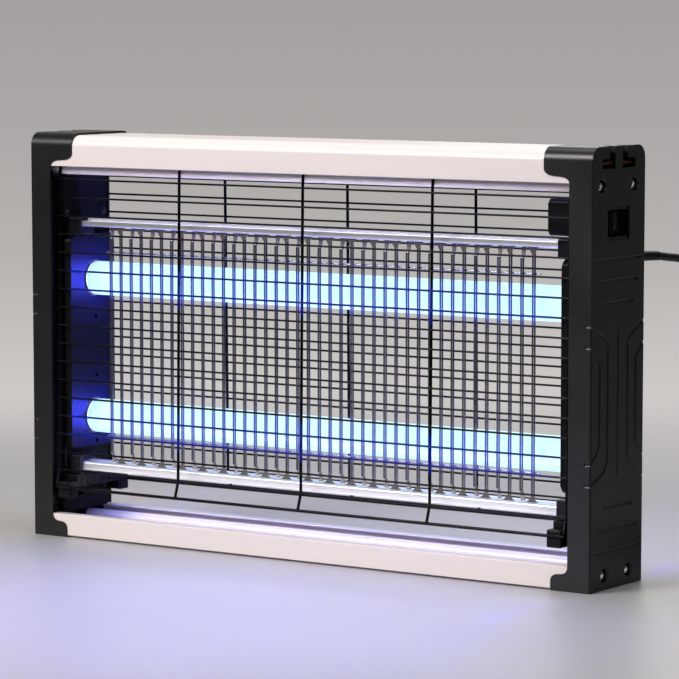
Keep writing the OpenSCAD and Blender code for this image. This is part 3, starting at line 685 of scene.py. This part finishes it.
def cap_outline():
    """Side outline of the right cap: its body, with a lobe over each rail."""
    upper = s_curve((CAP_IN - LOBE_TOP, 290 * MM), (CAP_IN, 279.5 * MM))
    lower = s_curve((CAP_IN - LOBE_BOTTOM, 6.8 * MM), (CAP_IN, 16.8 * MM))
    return ([(HALF_L, 0), (HALF_L, HEIGHT), (CAP_IN - LOBE_TOP, HEIGHT)] + upper + lower[::-1]
            + [(CAP_IN - LOBE_BOTTOM, 0)])


def s_curve(start, end, n=20):
    """From an upright lobe end, round a soft shoulder, through a hollow, to an upright edge."""
    (x0, z0), (x1, z1) = start, end
    made = []
    for k in range(n + 1):
        t = k / n
        made.append((x0 + (x1 - x0) * (t * t * (3 - 2 * t)),
                     z0 + (z1 - z0) * (t + 0.88 * math.sin(2 * math.pi * t) / (2 * math.pi))))
    return made


def bracket_path(y, low, high, r, turn, side):
    """Centreline of a bracket-shaped groove on the cap's side face, wrapping over its edge."""
    top = arc(y + r, high, r, 180, 180 - turn, 8)
    bottom = arc(y + r, low, r, 180 + turn, 180, 8)
    slope = math.tan(math.radians(90 - turn))
    edge = HALF_D / MM + 0.85
    rise_top = (edge - top[-1][0]) * slope
    rise_bottom = (edge - bottom[0][0]) * slope
    middle = ([(edge, bottom[0][1] - rise_bottom)] + bottom + top
              + [(edge, top[-1][1] + rise_top)])
    out = HALF_L / MM + 0.85
    path = [(out - 6, edge, middle[0][1]), (out - 1.5, edge, middle[0][1])]
    path += [(out, p[0], p[1]) for p in middle]
    path += [(out - 1.5, edge, middle[-1][1]), (out - 6, edge, middle[-1][1])]
    return [Vector((p[0], p[1] * side, p[2])) * MM for p in path]


def groove_run(a, b, axis, fixed, r=2.1, out=1.0):
    """Straight soft groove on the side face whose ends run out."""
    x = HALF_L / MM + out
    run = 2.4
    stations = [a, a + run * 0.5, a + run, b - run, b - run * 0.5, b]
    lift = [out * 1.3, out * 0.4, 0, 0, out * 0.4, out * 1.3]
    path = []
    for s, up in zip(stations, lift):
        point = (x + up, s, fixed) if axis == "y" else (x + up, fixed, s)
        path.append(Vector(point) * MM)
    return path, r * MM


# height and half length of each level groove, and the arguments of bracket_path for the others
LEVEL_GROOVES = [(227.5, 30), (213.1, 25.5), (197.9, 19.5), (57.2, 20), (41.9, 27), (26.5, 30)]
BRACKETS = [(13.6, 92, 165, 12, 66), (24.6, 101, 156, 5, 50)]
BRACKET_GROOVE_R = 1.6 * MM


def cap_cutters(bm):
    for z, half in LEVEL_GROOVES:
        sweep(bm, *groove_run(-half - 1, half + 1, "y", z), sides=16)


def cap_body(bm):
    prism(bm, arch(HALF_D, 0, HEIGHT, CAP_R), "x", 0.19, HALF_L, bevel=1.3 * MM,
          bevel_ends=(False, True), segments=4)


def rod(bm, start, end, r, sides=24):
    sweep(bm, [start, end], r, sides=sides)


PORTS = [(22, 278), (16.5, 10.3)]
COVER_SCREWS = [(22, 34), (22, 244)]
HINGE = (30, 283)


def cap_bosses(bm):
    """Screw and pivot bosses that stand inside the cap."""
    for s in (-1, 1):
        for y, z in PORTS:
            rod(bm, mm(232.1, s * y, z), mm(242.2, s * y, z), 6 * MM)
        rod(bm, mm(232.1, s * HINGE[0], HINGE[1]), mm(242.2, s * HINGE[0], HINGE[1]), 3 * MM)
        for y, z in COVER_SCREWS:
            rod(bm, mm(229, s * y, z), mm(242.2, s * y, z), 3.5 * MM)


def hanger_cut(bm):
    """T-shaped hanger recess, open at the cap's top, either side of a middle post."""
    for s in (-1, 1):
        outline = [(s * 5, 310), (s * 5, 289.5), (s * 22.5, 290), (s * 22.5, 296.5),
                   (s * 12.5, 296.5), (s * 12.5, 310)]
        prism(bm, flat_mm(outline), "x", 237 * MM, 250 * MM)


def cap_holes(switch_side):
    def build(bm):
        for s in (-1, 1):
            for y, z in PORTS:
                lathe(bm, flat_mm([(0, 2.2), (9, 2.2), (9, 4.5), (12.2, 4.5), (14, 6.6)]),
                      mm(231, s * y, z), (1, 0, 0), sides=40)
            rod(bm, mm(231, s * HINGE[0], HINGE[1]), mm(235.5, s * HINGE[0], HINGE[1]), 1.25 * MM)
            for y, z in COVER_SCREWS:
                rod(bm, mm(228, s * y, z), mm(238, s * y, z), SCREW_HOLE_R)
        rod(bm, mm(240.5, -21, 293.2), mm(240.5, 21, 293.2), SCREW_HOLE_R)
        if switch_side:
            prism(bm, round_rect(14.75 * MM, SWITCH_Z - 11.35 * MM, SWITCH_Z + 11.35 * MM, 1 * MM),
                  "x", 240 * MM, 246 * MM)
            rod(bm, mm(CORD_X, 28, CORD_Z), mm(CORD_X, 38, CORD_Z), 3.9 * MM)
    return build


def make_end_cap(side, name, node):
    right = side > 0
    steps = [
        ("INTERSECT", lambda bm: prism(bm, cap_outline(), "y", -0.05, 0.05)),
        ("DIFFERENCE", lambda bm: prism(bm, arch(HALF_D - CAP_WALL, CAP_WALL, HEIGHT - CAP_WALL,
                                                 CAP_R - CAP_WALL), "x", CUT_FROM,
                                        HALF_L - CAP_WALL)),
        ("DIFFERENCE", lambda bm: prism(bm, arch(RAIL_D + SLACK, 0.27, RAIL_TOP + SLACK,
                                                 CAP_R - 0.75 * MM), "x", CUT_FROM,
                                        RAIL_END + SLACK)),
        ("DIFFERENCE", lambda bm: block(bm, (CUT_FROM, -RAIL_D - SLACK, RAIL_FLOOR - SLACK),
                                        (RAIL_END + SLACK, RAIL_D + SLACK, 0.025))),
        ("UNION", cap_bosses),
        ("UNION", lambda bm: block(bm, mm(234.6, -25, 287), mm(242.2, 25, 303.2))),
        ("DIFFERENCE", hanger_cut),
        ("DIFFERENCE", cap_holes(right)),
        ("DIFFERENCE", cap_cutters),
        ("DIFFERENCE", lambda bm: sweep(bm, *groove_run(75.3, 180, "z", 0, r=1.7, out=1.3),
                                        sides=16)),
    ]
    for s in (-1, 1):
        for shape in BRACKETS:
            steps.append(("DIFFERENCE", lambda bm, s=s, shape=shape: sweep(
                bm, bracket_path(*shape, s), BRACKET_GROOVE_R, sides=14)))
    bm = carve(cap_body, steps)
    mirror(bm, x=side)
    finish_mesh(bm, name, node, CAP_PLASTIC, sharp=34, weighted=True)


make_end_cap(1, "end_cap_right", "right_end_cap")
make_end_cap(-1, "end_cap_left", "left_end_cap")


# ---- rails ----

def port_outline(y, z, r_out, r_in, half_stem, up):
    """One side of the rail's inner outline round a C-shaped screw port on a stem."""
    gap = 22
    at = 90 if up else -90
    half = math.degrees(math.asin(half_stem / r_out))
    outer_a = arc(y, z, r_out, at + half, at + 180 - gap, 18)
    inner = arc(y, z, r_in, at + 180 - gap * 1.6, at - 180 + gap * 1.6, 26)
    outer_b = arc(y, z, r_out, at - 180 + gap, at - half, 18)
    return outer_a + inner + outer_b


def top_rail_outline():
    """Inverted channel with rounded shoulders, turned flange lips and two screw ports."""
    w, low, high, r, t = RAIL_D / MM, 280.1, RAIL_TOP / MM, 8.5, 1.5
    outer = [(-w, low + 0.3), (-w, high - r)] + arc(r - w, high - r, r, 180, 90, 16) \
        + arc(w - r, high - r, r, 90, 0, 16) + [(w, low + 0.3), (w - 0.3, low)]
    inside = [(w - t + 0.3, low), (w - t, low + 0.3)] + arc(w - r, high - r, r - t, 0, 90, 12)
    for y in (22, -22):
        port = port_outline(y, 278, 4.6, 1.75, 0.75, True)
        inside += [(y + 0.75, high - t)] + port[::-1] + [(y - 0.75, high - t)]
    inside += arc(r - w, high - r, r - t, 90, 180, 12) + [(t - w, low + 0.3), (t - w - 0.3, low)]
    return flat_mm(outer + inside + [(-w + 0.3, low)])


def bottom_rail_outline():
    """Open tray channel with turned-in lips and two screw ports standing in it."""
    w, low, high, t = RAIL_D / MM, RAIL_FLOOR / MM, 17.3, 1.5
    lip, r = 8.5, 0.7
    outer = [(-w, high - 0.5), (-w, low + 0.6), (-w + 0.6, low), (w - 0.6, low), (w, low + 0.6),
             (w, high - 0.5)] + arc(w - 0.5, high - 0.5, 0.5, 0, 90, 4)
    outer += arc(w - lip + r, high - r, r, 90, 270, 8)
    outer += [(w - t, high - t), (w - t, low + t + 0.8), (w - t - 0.8, low + t)]
    for y in (16.5, -16.5):
        port = port_outline(y, 10.3, 4.5, 1.75, 0.75, False)
        outer += [(y + 0.75, low + t)] + port + [(y - 0.75, low + t)]
    outer += [(t - w + 0.8, low + t), (t - w, low + t + 0.8), (t - w, high - t)]
    outer += arc(lip - w - r, high - r, r, -90, 90, 8) + [(-w + 0.5, high)]
    return flat_mm(outer)


def make_rail(outline, name, node):
    bm = bmesh.new()
    prism(bm, outline, "x", -RAIL_END, RAIL_END)
    finish_mesh(bm, name, node, PAINTED_RAIL, sharp=40)


make_rail(top_rail_outline(), "rail_upper", "top_rail")
make_rail(bottom_rail_outline(), "rail_lower", "bottom_rail")


# ---- inner covers ----

def make_cover(side, name, node):
    right = side > 0
    low, high = 17.5 * MM, 272 * MM
    half, wall = 26.4 * MM, 2 * MM

    def base(bm):
        block(bm, (CAP_IN, -HALF_D + 2.6 * MM, low), (CAP_IN + 2 * MM, HALF_D - 2.6 * MM, high))

    def raised(bm):
        prism(bm, round_rect(half, low, high, 1.5 * MM), "x", WALL_X, CAP_IN + 0.6 * MM,
              bevel=0.9 * MM, bevel_ends=(True, False))

    def platform(bm):
        prism(bm, round_rect(half - 0.02 * MM, 66 * MM, 227.5 * MM, 5 * MM), "x", PLATFORM_X,
              CAP_IN, bevel=1.2 * MM, bevel_ends=(True, False))

    def pocket(bm):
        prism(bm, round_rect(18 * MM, 242.7 * MM, 268.2 * MM, 3 * MM), "x", 198.4 * MM, CAP_IN,
              bevel=1.2 * MM, bevel_ends=(True, False))

    def hollow(bm):
        block(bm, (WALL_X + wall, -half + wall, low + wall), (CUT_TO, half - wall, high - wall))

    def hollow_platform(bm):
        prism(bm, round_rect(half - wall, 68 * MM, 225.5 * MM, 3 * MM), "x",
              PLATFORM_X + wall, CUT_TO)

    def hollow_pocket(bm):
        prism(bm, round_rect(16 * MM, 244.7 * MM, 266.2 * MM, 1.5 * MM), "x", 200.4 * MM, CUT_TO)

    def holes(bm):
        for z in (LAMP_LOW, LAMP_HIGH):
            lathe(bm, flat_mm([(-1, 14.9), (0, 14.6), (0.9, 13.9), (5, 13.9)]),
                  (PLATFORM_X, LAMP_Y, z), (1, 0, 0), sides=56)
        for z in (70, 120, 165):
            rod(bm, mm(212, 4, z), mm(219, 4, z), 1.6 * MM)
        for s in (-1, 1):
            for y, z in COVER_SCREWS:
                rod(bm, mm(219, s * y, z), mm(227, s * y, z), 1.6 * MM)
        prism(bm, flat_mm(round_rect(3.5, 28, 31.2, 1.59, centre=-8)), "x", 219 * MM, 224 * MM)

    steps = [("UNION", raised), ("UNION", platform)]
    if right:
        steps.append(("UNION", pocket))
    steps += [("DIFFERENCE", hollow), ("DIFFERENCE", hollow_platform)]
    if right:
        steps.append(("DIFFERENCE", hollow_pocket))
    steps.append(("DIFFERENCE", holes))
    bm = carve(base, steps)
    mirror(bm, x=side)
    finish_mesh(bm, name, node, INNER_PLASTIC, sharp=34, weighted=True)


make_cover(1, "inner_cover_right", "right_inner_cover")
make_cover(-1, "inner_cover_left", "left_inner_cover")


# ---- lamps ----

def make_lamp(z, name, glass_node, base_node):
    half = 218.7 * MM
    r = 12.75 * MM
    bm = bmesh.new()
    lathe(bm, [(-half + 5 * MM, r - 1 * MM), (-half + 5.6 * MM, r - 0.2 * MM), (-half + 7 * MM, r),
               (half - 7 * MM, r), (half - 5.6 * MM, r - 0.2 * MM), (half - 5 * MM, r - 1 * MM)],
          (0, LAMP_Y, z), (1, 0, 0), sides=48)
    finish_mesh(bm, name + "_tube", glass_node, TUBE_GLOW).visible_shadow = False
    bm = bmesh.new()
    for s in (-1, 1):
        lathe(bm, flat_mm([(5.2, 12.3), (5, 12.85), (0.6, 12.85), (0, 12.3), (0, 9), (0.5, 8.6)]),
              (s * half, LAMP_Y, z), (-s, 0, 0), sides=40)
        for d in (-6.35, 6.35):
            lathe(bm, flat_mm([(-0.5, 1.17), (6.3, 1.17), (7, 0.6)]),
                  (s * half, LAMP_Y, z + d * MM), (s, 0, 0), sides=16)
    finish_mesh(bm, name + "_caps", base_node, LAMP_METAL)


make_lamp(LAMP_HIGH, "lamp_upper", "upper_lamp_glass", "upper_lamp_bases")
make_lamp(LAMP_LOW, "lamp_lower", "lower_lamp_glass", "lower_lamp_bases")


# ---- high-voltage grid ----

RUNS = 40
PITCH = 9.5
GRID_Y = -14.5
GRID_RAIL_HALF = 0.211
SHEET = 0.9


def run_x(i):
    return (i - (RUNS - 1) / 2) * PITCH


def tab_outline(x, base, tip, half_base, half_tip):
    """Tab whose hollow sides flare into the rail."""
    side = [(half_tip + (half_base - half_tip) * (1 - k / 8) ** 2, base + (tip - base) * k / 8)
            for k in range(9)]
    return [(x - w, z) for w, z in side] + [(x + w, z) for w, z in side[::-1]]


def make_grid_rail(name, node, y0, y1, z0, z1, first, tip, half_tip, tab_y, half_base=5.6, lean=0):
    """Folded sheet channel with a tab at each run of one electrode."""
    t = SHEET
    up = tip > z1
    bm = bmesh.new()
    open_z = z0 if up else z1
    web_z = z1 if up else z0
    turn = -1 if up else 1
    front = rounded([(y0, open_z), (y0, web_z), (y1, web_z)], 3.2, n=10)[:-1]
    inner = rounded([(y1 - t, web_z + turn * t), (y0 + t, web_z + turn * t), (y0 + t, open_z)],
                    2.4, n=8)
    outline = front + rounded([(y1 - 1, web_z), (y1, web_z), (y1, open_z), (y1 - t, open_z),
                               (y1 - t, web_z + turn * t)], 0.3, n=3)[:-1] + inner
    prism(bm, flat_mm(outline), "x", -GRID_RAIL_HALF, GRID_RAIL_HALF)
    for i in range(first, RUNS, 2):
        base = web_z + (-0.3 if up else 0.3)
        outline = tab_outline(run_x(i), base, tip, half_base, half_tip)
        made = prism(bm, flat_mm(outline), "y", (tab_y + 0.07) * MM, (tab_y + 0.8) * MM)
        for vert in {v for face in made for v in face.verts}:
            share = (vert.co.z / MM - base) / (tip - base)
            vert.co.y += (GRID_Y - tab_y - 0.4) * MM * lean * share ** 2
        # The tabs take the second, darker material: painted shade on the same sheet as the rail.
        for face in made:
            face.material_index = 1
    rail = finish_mesh(bm, name, node, ALUMINIUM, sharp=35)
    rail.data.materials.append(TAB_PAINTED_SHADE)


make_grid_rail("grid_rail_outer_top", "outer_grid_top_rail", -20, -15.3, 234.5, 238.6, 1, 229.6,
               1.7, -16.1, lean=0.5)
make_grid_rail("grid_rail_outer_bottom", "outer_grid_bottom_rail", -20, -15.3, 50, 56.5, 1, 60,
               1.4, -16.1, lean=0.5)
make_grid_rail("grid_rail_inner_top", "inner_grid_top_rail", -12.6, -6, 235, 240.5, 0, 224.5,
               1.2, -12.6, 2.4, lean=1)
make_grid_rail("grid_rail_inner_bottom", "inner_grid_bottom_rail", -12.6, -6, 50, 57, 0, 65.5,
               1.0, -12.6, 1.8, lean=1)


def make_hairpins(name, node, first, low, high, r=0.65, half=0.86):
    """Each run is one wire bent into a long loop with round ends, a little uneven."""
    bm = bmesh.new()
    for i in range(first, RUNS, 2):
        x = run_x(i)
        wave = 0.12 * math.sin(i * 2.4)
        top = [(x + half * math.cos(a), GRID_Y, high - half + half * math.sin(a))
               for a in (math.pi * k / 8 for k in range(9))]
        bottom = [(x + half * math.cos(a), GRID_Y, low + half + half * math.sin(a))
                  for a in (math.pi + math.pi * k / 8 for k in range(9))]
        middle = (low + high) / 2
        path = top + [(x - half - wave * 0.5, GRID_Y, middle)] + bottom \
            + [(x + half - wave, GRID_Y, middle)]
        sweep(bm, [mm(*p) for p in path], r * MM, sides=8, closed=True)
    finish_mesh(bm, name, node, WIRE_STEEL, sharp=60)


make_hairpins("grid_wires_outer", "outer_grid_wires", 1, 59, 231.5)
make_hairpins("grid_wires_inner", "inner_grid_wires", 0, 63.5, 226.5)


def make_insulator(side, low, high, rails, name, node):
    """Block that holds both electrodes' rails clear of the cover."""
    def base(bm):
        block(bm, mm(209, -23, low), mm(221.5, -4, high), 0.8 * MM)

    def slots(bm):
        for y0, y1, z0, z1 in rails:
            block(bm, mm(204, y0 - 0.1, z0 - 0.1), mm(211.2, y1 + 0.1, z1 + 0.1))

    bm = carve(base, [("DIFFERENCE", slots)])
    mirror(bm, x=side)
    finish_mesh(bm, name, node, INSULATOR, weighted=True)


TOP_RAILS = [(-20, -15.3, 234.5, 238.6), (-12.6, -6, 235, 240.5)]
BOTTOM_RAILS = [(-20, -15.3, 50, 56.5), (-12.6, -6, 50, 57)]
for side, word in ((1, "right"), (-1, "left")):
    make_insulator(side, 228.3, 241.2, TOP_RAILS, f"insulator_top_{word}", f"top_{word}_insulator")
    make_insulator(side, 47, 61, BOTTOM_RAILS, f"insulator_bottom_{word}",
                   f"bottom_{word}_insulator")


# ---- guards ----

BARS = 17
BAR_PITCH = 13.71
BAR_TOP = 270.1
BAR_R = 0.75
UPRIGHT_R = 1.1
UPRIGHT_X = 110.6
ROD_R = 1.2
GUARD_X = 222.5
FOOT_Y, FOOT_Z = 34.7, 37.5


def lean_y(z):
    return 30.3 + 3.06 / 238 * (BAR_TOP - z)


def stay_path(x, r):
    """Rod behind the bars, from the hinge rod down to the foot rod."""
    back, pin = BAR_R + r + 0.05, ROD_R + r
    points = [(x, pin - 30, 284), (x, back - lean_y(270), 272), (x, back - lean_y(50), 50),
              (x, r - 35.9, FOOT_Z + 1.5), (x, r - 35.9, FOOT_Z - 0.6)]
    return [p * MM for p in rounded(points, 4, n=6)]


def make_guard(side, word):
    """Frame, bars and uprights of a guard; all three ride on the guard's own body."""
    def finish(bm, kind):
        mirror(bm, y=-side)
        finish_mesh(bm, f"guard_{word}_{kind}", f"{word}_guard_{kind}", GUARD_WIRE,
                    f"{word}_guard", sharp=50)

    bm = bmesh.new()
    rod(bm, mm(-235, -30, 283), mm(235, -30, 283), ROD_R * MM, 16)
    foot = rounded([(-GUARD_X, -FOOT_Y, FOOT_Z), (GUARD_X, -FOOT_Y, FOOT_Z)], 1)
    sweep(bm, [p * MM for p in foot], ROD_R * MM, sides=16)
    for s in (-1, 1):
        sweep(bm, stay_path(s * GUARD_X, ROD_R), ROD_R * MM, sides=16)
    finish(bm, "frame")
    bm = bmesh.new()
    for k in range(BARS):
        z = BAR_TOP - k * BAR_PITCH
        rod(bm, mm(-GUARD_X - 1, -lean_y(z), z), mm(GUARD_X + 1, -lean_y(z), z), BAR_R * MM, 14)
    finish(bm, "bars")
    bm = bmesh.new()
    for x in (-UPRIGHT_X, 0, UPRIGHT_X):
        sweep(bm, stay_path(x, UPRIGHT_R), UPRIGHT_R * MM, sides=16)
    finish(bm, "uprights")


make_guard(-1, "front")
make_guard(1, "rear")


# ---- clips ----

def make_clip(side_x, side_y, name, node):
    """Snap clip: two jaws with rounded lips, at the end of a ribbed bar along the cover."""
    def base(bm):
        block(bm, mm(209, -36, 29.5), mm(220.9, -26, 42), 1.2 * MM)

    def foot(bm):
        block(bm, mm(210, -27, 30.5), mm(221.5, -24.9, 41), 0.6 * MM)

    def slot(bm):
        block(bm, mm(205, -40, 35.9), mm(225, -33.1, 39.1), 0.3 * MM)
        rod(bm, mm(205, -34.4, 37.5), mm(225, -34.4, 37.5), 1.7 * MM)

    def relief(bm):
        block(bm, mm(211.5, -31.5, 28), mm(218.5, -28.5, 44), 0.5 * MM)

    def bar(bm):
        block(bm, mm(209, -27, 37), mm(221.5, -0.1, 46.8), 0.9 * MM)
        for k in range(3):
            block(bm, mm(208.4, -22 + 7 * k, 38.4), mm(212, -18.6 + 7 * k, 45.4), 0.5 * MM)

    bm = carve(base, [("UNION", foot), ("UNION", bar), ("DIFFERENCE", slot),
                      ("DIFFERENCE", relief)])
    mirror(bm, x=side_x, y=-side_y)
    finish_mesh(bm, name, node, CLIP_PLASTIC, weighted=True)


for side_y, depth_word in ((-1, "front"), (1, "rear")):
    for side_x, side_word in ((1, "right"), (-1, "left")):
        make_clip(side_x, side_y, f"clip_{depth_word}_{side_word}",
                  f"{depth_word}_{side_word}_clip")


# ---- switch ----

ROCKER_X = 236.8
ROCKER_TILT = 10


def make_switch():
    def base(bm):
        prism(bm, round_rect(14.6 * MM, SWITCH_Z - 11.2 * MM, SWITCH_Z + 11.2 * MM, 1 * MM), "x",
              229 * MM, 243.2 * MM, bevel=0.5 * MM, bevel_ends=(False, True))

    def inside(bm):
        block(bm, mm(203, -12.5, 245.1), mm(229.5, 12.5, 259), 0.8 * MM)

    def well(bm):
        prism(bm, round_rect(13.3 * MM, SWITCH_Z - 9.25 * MM, SWITCH_Z + 9.25 * MM, 0.5 * MM), "x",
              231.5 * MM, 250 * MM)
        rod(bm, mm(ROCKER_X, 0, 240), mm(ROCKER_X, 0, 264), 1.55 * MM)

    bm = carve(base, [("UNION", inside), ("DIFFERENCE", well)])
    finish_mesh(bm, "switch_frame", "rocker_switch_frame", SWITCH_PLASTIC, weighted=True)

    bm = bmesh.new()
    face = rounded([(4.6, -12.2), (2.4, 0), (4.6, 12.2)], 6, n=6)
    prism(bm, flat_mm([(-3.5, 8), (-3.5, -8), *face]), "z", -8.9 * MM, 8.9 * MM, bevel=0.5 * MM)
    rod(bm, mm(0, 0, -10.3), mm(0, 0, 10.3), 1.5 * MM)
    bmesh.ops.transform(bm, matrix=Matrix.Translation((ROCKER_X * MM, 0, SWITCH_Z))
                        @ Matrix.Rotation(math.radians(ROCKER_TILT), 4, "Z"), verts=bm.verts)
    finish_mesh(bm, "rocker_cap", "rocker_button", SWITCH_PLASTIC, "rocker", weighted=True)


make_switch()


# ---- screws ----

def cross_head(bm, at, axis, r, h):
    """Pan head with a cross recess, its top at distance h along the axis."""
    profile = [(0, 0.98), (0.35, 1), (0.75, 0.82), (1, 0.42), (1, 0.3), (0.6, 0.16), (0.45, 0)]
    lathe(bm, [(h * a, r * b) for a, b in profile], at, axis, sides=28)


def make_screws(side, name, node, spots, x, axis_out, r, h, shank_r, shank, material):
    bm = bmesh.new()
    for y, z in spots:
        at = mm(x, y, z)
        cross_head(bm, at, (axis_out, 0, 0), r * MM, h * MM)
        rod(bm, at + mm(axis_out * 0.3, 0, 0), at - mm(axis_out * shank, 0, 0), shank_r * MM, 20)
    mirror(bm, x=side)
    finish_mesh(bm, name, node, material, sharp=40)


cap_spots = [(s * y, z) for s in (-1, 1) for y, z in PORTS]
cover_spots = [(s * y, z) for s in (-1, 1) for y, z in COVER_SCREWS]
for side, word in ((1, "right"), (-1, "left")):
    make_screws(side, f"screws_cap_{word}", f"{word}_cap_screws", cap_spots, 240, 1, 3.9, 2.6, 1.7,
                19, SCREW_STEEL)
    # The cover screws take the darkened screw steel, which is painted shade.
    make_screws(side, f"screws_cover_{word}", f"{word}_cover_screws", cover_spots, 221.5, -1, 2.6,
                1.2, 1.5, 13, SCREW_STEEL_PAINTED_SHADE)


# ---- materials of the CAD nodes that stay ----

KEPT = {
    "hanger_pins": HANGER_STEEL, "grid_cross_rods": WIRE_STEEL,
    "upper_left_lampholder": WHITE_PLASTIC, "upper_right_lampholder": WHITE_PLASTIC,
    "lower_left_lampholder": WHITE_PLASTIC, "lower_right_lampholder": WHITE_PLASTIC,
    "circuit_board": BOARD, "lamp_driver_board": BOARD, "hv_transformer": WINDING,
    "lamp_choke": WINDING, "multiplier_capacitors": BLUE_COATING, "filter_capacitor": DARK_SLEEVE,
    "fuse": FUSE_GLASS, "terminal_block": WHITE_PLASTIC, "wiring_harness": LEAD,
}
for node, material in KEPT.items():
    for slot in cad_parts[node].material_slots:
        slot.material = material
